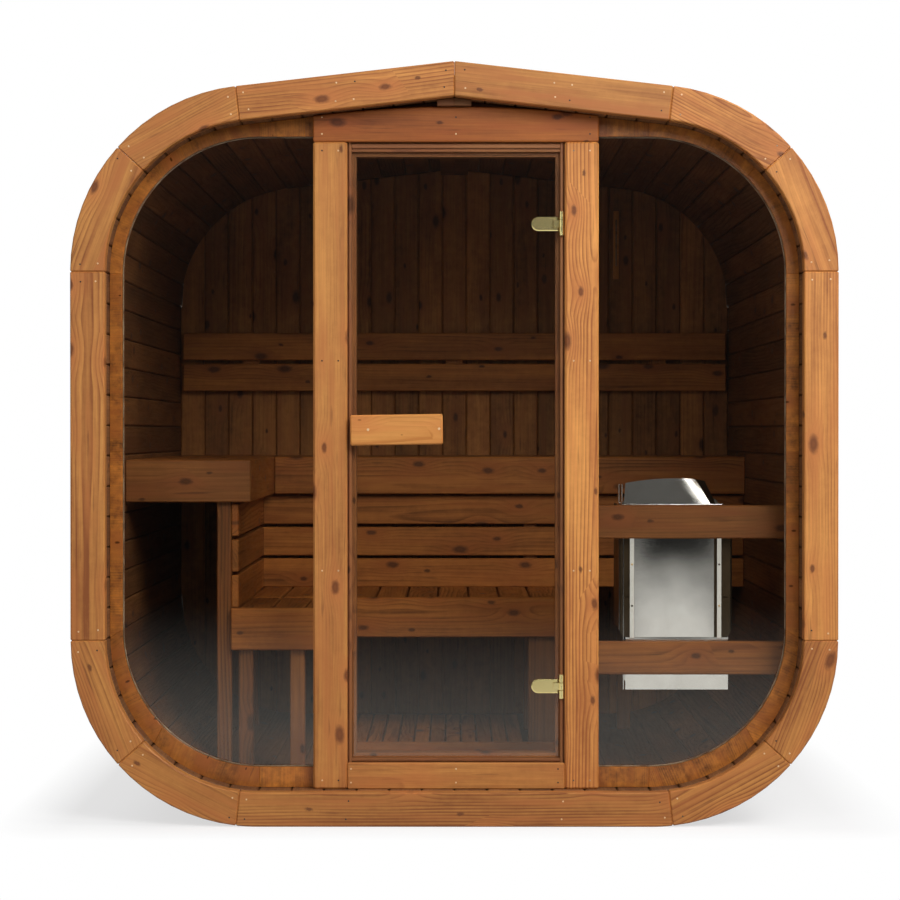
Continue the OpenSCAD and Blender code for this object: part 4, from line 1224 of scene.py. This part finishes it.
def folded(*boxes):
    """Pieces of flat sheet, each from its lowest and highest x, then y, then z."""
    corners = np.array(boxes).reshape(-1, 3, 2)
    return [straight(low, high, 2, SHEET_EASE)[:2] for low, high in np.moveaxis(corners, 2, 1)]


# %% Back plate and jacket
STRIP, STRIP_GAP, STRIP_FIT, STRIP_DROP = 0.013, 0.0075, 0.0004, 0.003
JACKET_BACK, JACKET_R, BELLY, SHEET_PROUD = 0.003, 0.020, 0.0050, 0.0006
case_low, case_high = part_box("heater_casing")
x0, x1, y0, y1, top = case_low.x, case_high.x, case_low.y, case_high.y, case_high.z
sheet_y = plate_high.y + JACKET_BACK - SHEET_PROUD
plate_sheet = level_panel(plate_low.x + STRIP + STRIP_FIT, plate_high.x - STRIP - STRIP_GAP,
                          (sheet_y, plate_low.z), (sheet_y, plate_high.z), BELLY, 0.0004)
piece("heater_back_sheet", [plate_sheet], plate_steel, "heater_back_plate", smooth=True)
strip_x = np.array([plate_low.x, plate_high.x - STRIP])
strips = spaced(0, strip_x, strip_x + STRIP, (0, plate_low.y, plate_low.z - STRIP_DROP),
                plate_high, 2, SHEET_PROUD)[:2]
piece("heater_side_strips", [strips], strip_steel)
SCREW_LEVELS, JACKET_SCREW_R = (0.24, 0.555), 0.0030   # levels as shares of the height
screws = [(x + STRIP / 2, plate_low.y, plate_low.z + (plate_high.z - plate_low.z) * share)
          for share in SCREW_LEVELS for x in strip_x]
piece("heater_screws", [nails(screws, radius=JACKET_SCREW_R)], nail_head)


def jacket_foot(x):
    """The jacket's lower edge: level, with a quarter round at both corners."""
    over = np.maximum(np.abs(x - (x0 + x1) / 2) - ((x1 - x0) / 2 - JACKET_R), 0.0)
    return plate_low.z + JACKET_R - np.sqrt(np.maximum(JACKET_R ** 2 - over ** 2, 0.0))


foot = plate_low.z + JACKET_R
jacket = [upright_boards(x0, x1, jacket_foot, top, y0 + JACKET_BACK, y0 + JACKET_BACK + SHEET,
                         49, SHEET_EASE)[:2],
          *folded((x0, x0 + SHEET, y0 + SHEET, y1, foot, top),
                  (x1 - SHEET, x1, y0 + SHEET, y1, foot, top),
                  (x1, x1 + 0.0015, y0 - 0.001, y0 + SHEET, foot, top))]
piece("heater_jacket_sheets", jacket, jacket_steel, "heater_casing")

# %% Inner box
heap_low, heap_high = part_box("heater_stones")
BOX_IN, RIM_R, RIGHT_BACK, LEFT_T, FLANGE, PROUD = 0.009, 0.0025, 0.008, 0.0035, 0.002, 0.001
PANEL_IN, PANEL_BACK, PANEL_PROUD, PANEL_BELLY, PANEL_T = 0.0075, 0.004, 0.0005, 0.0012, 0.002
tray, bottom = heap_low.z, case_low.z
left, right, near, far = x0 + BOX_IN, x1 - BOX_IN, y0 + SHEET, y1 - SHEET
rim = np.array([(left, near, top), (left, far, top), (right, far, top), (right, near, top)])
inner_box = [
    level_panel(left + PANEL_IN, right, (y0 + PANEL_BACK, bottom),
                (y0 - PANEL_PROUD, plate_low.z), PANEL_BELLY, PANEL_T),
    *folded((left, left + LEFT_T, y0, y1, bottom, top),
            (right - SHEET, right, y0 + RIGHT_BACK, y1, bottom, top),
            (left, right, far, y1, bottom, top), (left, right, near, far, tray - SHEET, tray),
            (x0 - FLANGE, x0, y0 - PROUD, near, foot, top)),
    rods(rim[[0, 3, 1]], rim[[1, 2, 2]], RIM_R, 12)[:2]]
piece("heater_inner_box", inner_box, heater_steel, smooth=True)

# %% Hood
hood_low, hood_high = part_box("heater_hood")
HOOD_T, HOOD_CURL, HOOD_ARCH, HOOD_UP, FLANK_FOLD = 0.0015, 0.006, 0.004, 0.002, 0.012
foot_y = hood_low.y + 0.002
lean = (hood_high.y - hood_low.y - SHEET) / (hood_high.z - hood_low.z)
edge_top = hood_high.z - hood_low.z - HOOD_ARCH


def on_hood(x, up, back=0.0):
    """A point of the leaning hood: how far right of its left end, how high, how far back."""
    return (hood_low.x + x, foot_y + lean * up + back, hood_low.z + up)


# each edge's x at the foot and at the top, and how much lower an outer edge ends
FACE_LEFT, FACE_RIGHT, FACE_DROP = (0.006, 0.013), (0.249, 0.211), 0.011
FLANK_LEFT, FLANK_RIGHT, FLANK_DROP = (0.2495, 0.2115), (0.2655, 0.2375), 0.006
face = panel([on_hood(FACE_LEFT[0], HOOD_UP), on_hood(FACE_RIGHT[0], HOOD_UP),
              on_hood(FACE_RIGHT[1], edge_top), on_hood(FACE_LEFT[1], edge_top - FACE_DROP)],
             0.0, HOOD_T, HOOD_ARCH, HOOD_CURL)
flank_back = FLANK_FOLD + lean * (HOOD_UP + FLANK_DROP)
flank = panel([on_hood(FLANK_LEFT[0], HOOD_UP), on_hood(FLANK_RIGHT[0], HOOD_UP, FLANK_FOLD),
               on_hood(FLANK_RIGHT[1], edge_top - FLANK_DROP, flank_back),
               on_hood(FLANK_LEFT[1], edge_top)], 0.0, HOOD_T)
UPRIGHTS, UPRIGHT_T, UPRIGHT_DEEP, UPRIGHT_H = (-0.0085, 0.0), 0.0018, 0.045, 0.061
LIP_R, LIP_UP, LIP_PROUD = 0.0022, 0.0035, 0.0015
uprights = folded(*((x, x + UPRIGHT_T, foot_y - PROUD, foot_y + UPRIGHT_DEEP, hood_low.z,
                     hood_low.z + UPRIGHT_H) for x in np.add(UPRIGHTS, hood_low.x)))
lip_ends = [(x, foot_y - LIP_PROUD, hood_low.z + LIP_UP) for x in (hood_low.x, hood_high.x)]
lip = rods(*lip_ends, LIP_R, 12, 0.0004)[:2]
piece("heater_hood_sheet", [face, lip], heater_steel, "heater_hood", smooth=True)
piece("heater_hood_uprights", uprights, strip_steel)
# The flank is folded from the hood's sheet, yet takes the darker jacket steel: painted shade for
# its inner face.
piece("heater_hood_flank", [flank], jacket_steel, smooth=True)

# %% Stones
STONE, STONE_STEP, STONE_UP, MIDDLE_UP = 0.029, 0.048, 0.012, 0.008
STONES = 6, 5, 4   # how many along x, along y and in depth
STONE_SIZES = (0.026, 0.032), (0.022, 0.030), (0.019, 0.027)   # along a stone's own axes
FACING, NO_CUT = 0.15, 9.0


def stones(centres, sizes, seams=9, rows=6, cuts=9):
    """Split stones: a sphere's grid of angles, cut flat by clipping against chance planes,
    then scaled and turned. A plane with direction n at distance d cuts the ray in direction
    r off at length d / (r n), and the shortest of these lengths is the stone's radius."""
    count = len(centres)
    up = np.linspace(0, math.pi, rows + 1)[1:-1, None]
    turn = np.linspace(0, 2 * math.pi, seams, endpoint=False)
    ball = np.stack([np.sin(up) * np.cos(turn), np.sin(up) * np.sin(turn),
                     np.cos(up) * np.ones(seams)], axis=-1)
    planes = unit(rng.normal(size=(count, cuts, 3)))
    reach = rng.uniform(0.62, 0.9, (count, cuts))
    facing = np.einsum("rpc,nkc->nrpk", ball, planes)
    length = reach[:, None, None] / np.maximum(facing, FACING)
    limit = np.where(facing > FACING, length, NO_CUT)
    radius = np.minimum(limit.min(axis=-1), 1.0)
    shape = ball[None] * radius[..., None] * np.array(sizes)[:, None, None]
    axes, _ = np.linalg.qr(rng.normal(size=(count, 3, 3)))
    return tubes(np.einsum("nrpc,ncd->nrpd", shape, axes) + centres[:, None, None])


gx, gy, gz = np.stack(np.meshgrid(*map(np.arange, STONES), indexing="ij"), axis=-1).reshape(-1, 3).T
gx, gy = gx / (STONES[0] - 1), gy / (STONES[1] - 1)
centres = np.stack([heap_low.x + STONE + gx * (heap_high.x - heap_low.x - 2 * STONE),
                    heap_low.y + STONE + gy * (heap_high.y - heap_low.y - 2 * STONE),
                    top - STONE_UP - gz * STONE_STEP], axis=-1)
centres += rng.uniform(-0.006, 0.006, centres.shape)
centres[:, 2] += MIDDLE_UP * ((np.abs(gx - 0.5) < 0.4) & (np.abs(gy - 0.5) < 0.3) & (gz == 0))
sizes = np.stack([rng.uniform(*span, len(centres)) for span in STONE_SIZES], axis=-1)
BED_DROP = 0.17
bed = straight(heap_low, (heap_high.x, heap_high.y, top - BED_DROP), 0, 0.004)[:2]
piece("heater_stone_heap", [stones(centres, sizes), bed], heater_stone, "heater_stones")

# %% [markdown]
# ## Thermometer
# A slim wooden strip with a glass tube hangs on the back wall, high on the right.

# %% Thermometer
thermo_low, thermo_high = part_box("wall_thermometer")
TUBE_R, TUBE_FOOT, TUBE_HEAD, TUBE_EASE = 0.0022, 0.045, 0.030, 0.001
MARKS, MARK_W, MARK_T, MARK_PROUD = 11, 0.004, 0.0008, 0.0003
tube_x = (thermo_low.x + thermo_high.x) / 2
tube_z = thermo_low.z + TUBE_FOOT, thermo_high.z - TUBE_HEAD
piece("thermometer_strip", [straight(thermo_low, thermo_high, 2, 0.002)], handle_wood,
      "wall_thermometer")
tube = rods(*((tube_x, thermo_low.y, z) for z in tube_z), TUBE_R, 12, TUBE_EASE)
piece("thermometer_tube", [tube], pane_seal, slot="handle_wood", smooth=True)
marks = [(tube_x + MARK_W, thermo_low.y - MARK_PROUD, z)
         for z in np.linspace(*tube_z, MARKS + 2)[1:-1]]
marks = straight(marks, np.add(marks, (MARK_W, MARK_T, MARK_T)), 0, 0.0001)
piece("thermometer_marks", [marks], nail_head, slot="handle_wood")

# %% [markdown]
# ## Floor, light and background
# A pale floor and soft lamps show the timber as it is. One large lamp stands high on the
# right, a weaker one on the left, and an even sky fills the shadows. To the camera the sky
# is white. To polished things it is pale only low down, so that the panes keep their depth:
# a studio behind the camera is dark, and its floor, which glows for mirrors alone, is what
# glass mirrors near the ground: a painted reflection.

# %% Stage
WHITE, BLACK = (1.0, 1.0, 1.0, 1.0), (0.0, 0.0, 0.0, 1.0)


def stage_floor():
    """A wide pale floor. The camera sees it nearly white, with a soft shadow left in it;
    to polished things it is a painted glow, bright close to the cabin and fading out into the dark
    studio."""
    g = Graph("stage_floor")
    place = g.place()
    x, y = g.part(place, 0), g.part(place, 1)
    beside = (x.math("ABSOLUTE") - cad_high.x).math("MAXIMUM", 0.0)
    before = (y.math("ABSOLUTE") + cad_low.y).math("MAXIMUM", 0.0)
    away = (beside * beside + before * before).math("SQRT")
    cloud = g.noise(place, 1.2, 2.0)
    seen, glossy = (g.node("ShaderNodeLightPath", out=out) for out in (0, 3))
    pale = g.mix(cloud.between(0.3, 0.7), (0.30, 0.30, 0.30, 1.0), (0.33, 0.33, 0.32, 1.0))
    pale = g.mix(seen, pale, (0.95, 0.95, 0.95, 1.0))
    card = g.principled(pale, 0.9, Specular_IOR_Level=0.0)
    ahead = 1.0 - (0.0 - y).between(3.0, 10.0)
    white = g.node("ShaderNodeEmission", {}, {"Color": WHITE})
    dark = g.node("ShaderNodeEmission", {}, {"Color": BLACK})
    # Painted reflection: to glossy rays the floor glows, bright near the cabin and fading further
    # ahead.
    level = ahead * ahead * 0.92 + 0.02
    mirrored = g.node("ShaderNodeMixShader", {}, {0: level, 1: dark, 2: white})
    plain = g.node("ShaderNodeMixShader", {}, {0: glossy, 1: card, 2: mirrored})
    share = seen * (0.64 + away.between(0.02, 0.22) * 0.36)
    return g.finish(g.node("ShaderNodeMixShader", {}, {0: share, 1: plain, 2: white}))


HALF_FLOOR = 40.0
floor_mesh = bpy.data.meshes.new("stage_floor")
floor_mesh.from_pydata([(x * HALF_FLOOR, y * HALF_FLOOR, 0) for x, y in
                        ((-1, -1), (1, -1), (1, 1), (-1, 1))], [], [(0, 1, 2, 3)])
floor_mesh.materials.append(stage_floor())
stage = bpy.data.objects.new("stage_floor", floor_mesh)
scene.collection.objects.link(stage)

# %% World and lamps
scene.world = bpy.data.worlds.new("studio")
sky = Graph("studio", scene.world)
way = sky.node("ShaderNodeTexCoord", out=0)
ahead = (0.0 - sky.part(way, 1)).between(0.0, 1.0)
upward = sky.part(way, 2).between(0.03, 0.35)
soft = 0.12 + ahead * 0.39
mirror = 0.15 - (ahead.between(0.1, 0.5) * (1.0 - upward)) * 0.12
camera_ray, glossy_ray = (sky.node("ShaderNodeLightPath", out=out) for out in (0, 3))
unseen = glossy_ray * mirror + (1.0 - glossy_ray) * soft
level = camera_ray + (1.0 - camera_ray) * unseen
background = sky.node("ShaderNodeBackground", {}, {"Color": WHITE, "Strength": level})
sky.finish(background, "ShaderNodeOutputWorld")


def lamp(name, place, aim, size, watts):
    """A square soft lamp that looks at a point."""
    data = bpy.data.lights.new(name, "AREA")
    data.shape, data.size, data.energy = "SQUARE", size, watts
    made = bpy.data.objects.new(name, data)
    made.location = place
    made.rotation_euler = Vector(np.subtract(aim, place)).to_track_quat("-Z", "Y").to_euler()
    scene.collection.objects.link(made)


lamp("key", (2.4, -5.4, 4.0), (0.0, 0.0, 1.0), 2.8, 230.0)
lamp("fill", (-3.2, -5.8, 3.2), (0.0, 0.0, 1.0), 2.6, 48.0)
lamp("above", (3.0, -2.2, 5.2), (0.3, -0.8, 0.8), 2.0, 90.0)
lamp("back", (-1.5, 5.5, 5.0), (0.0, 0.0, 1.0), 3.0, 220.0)
scene.view_settings.view_transform = "Standard"
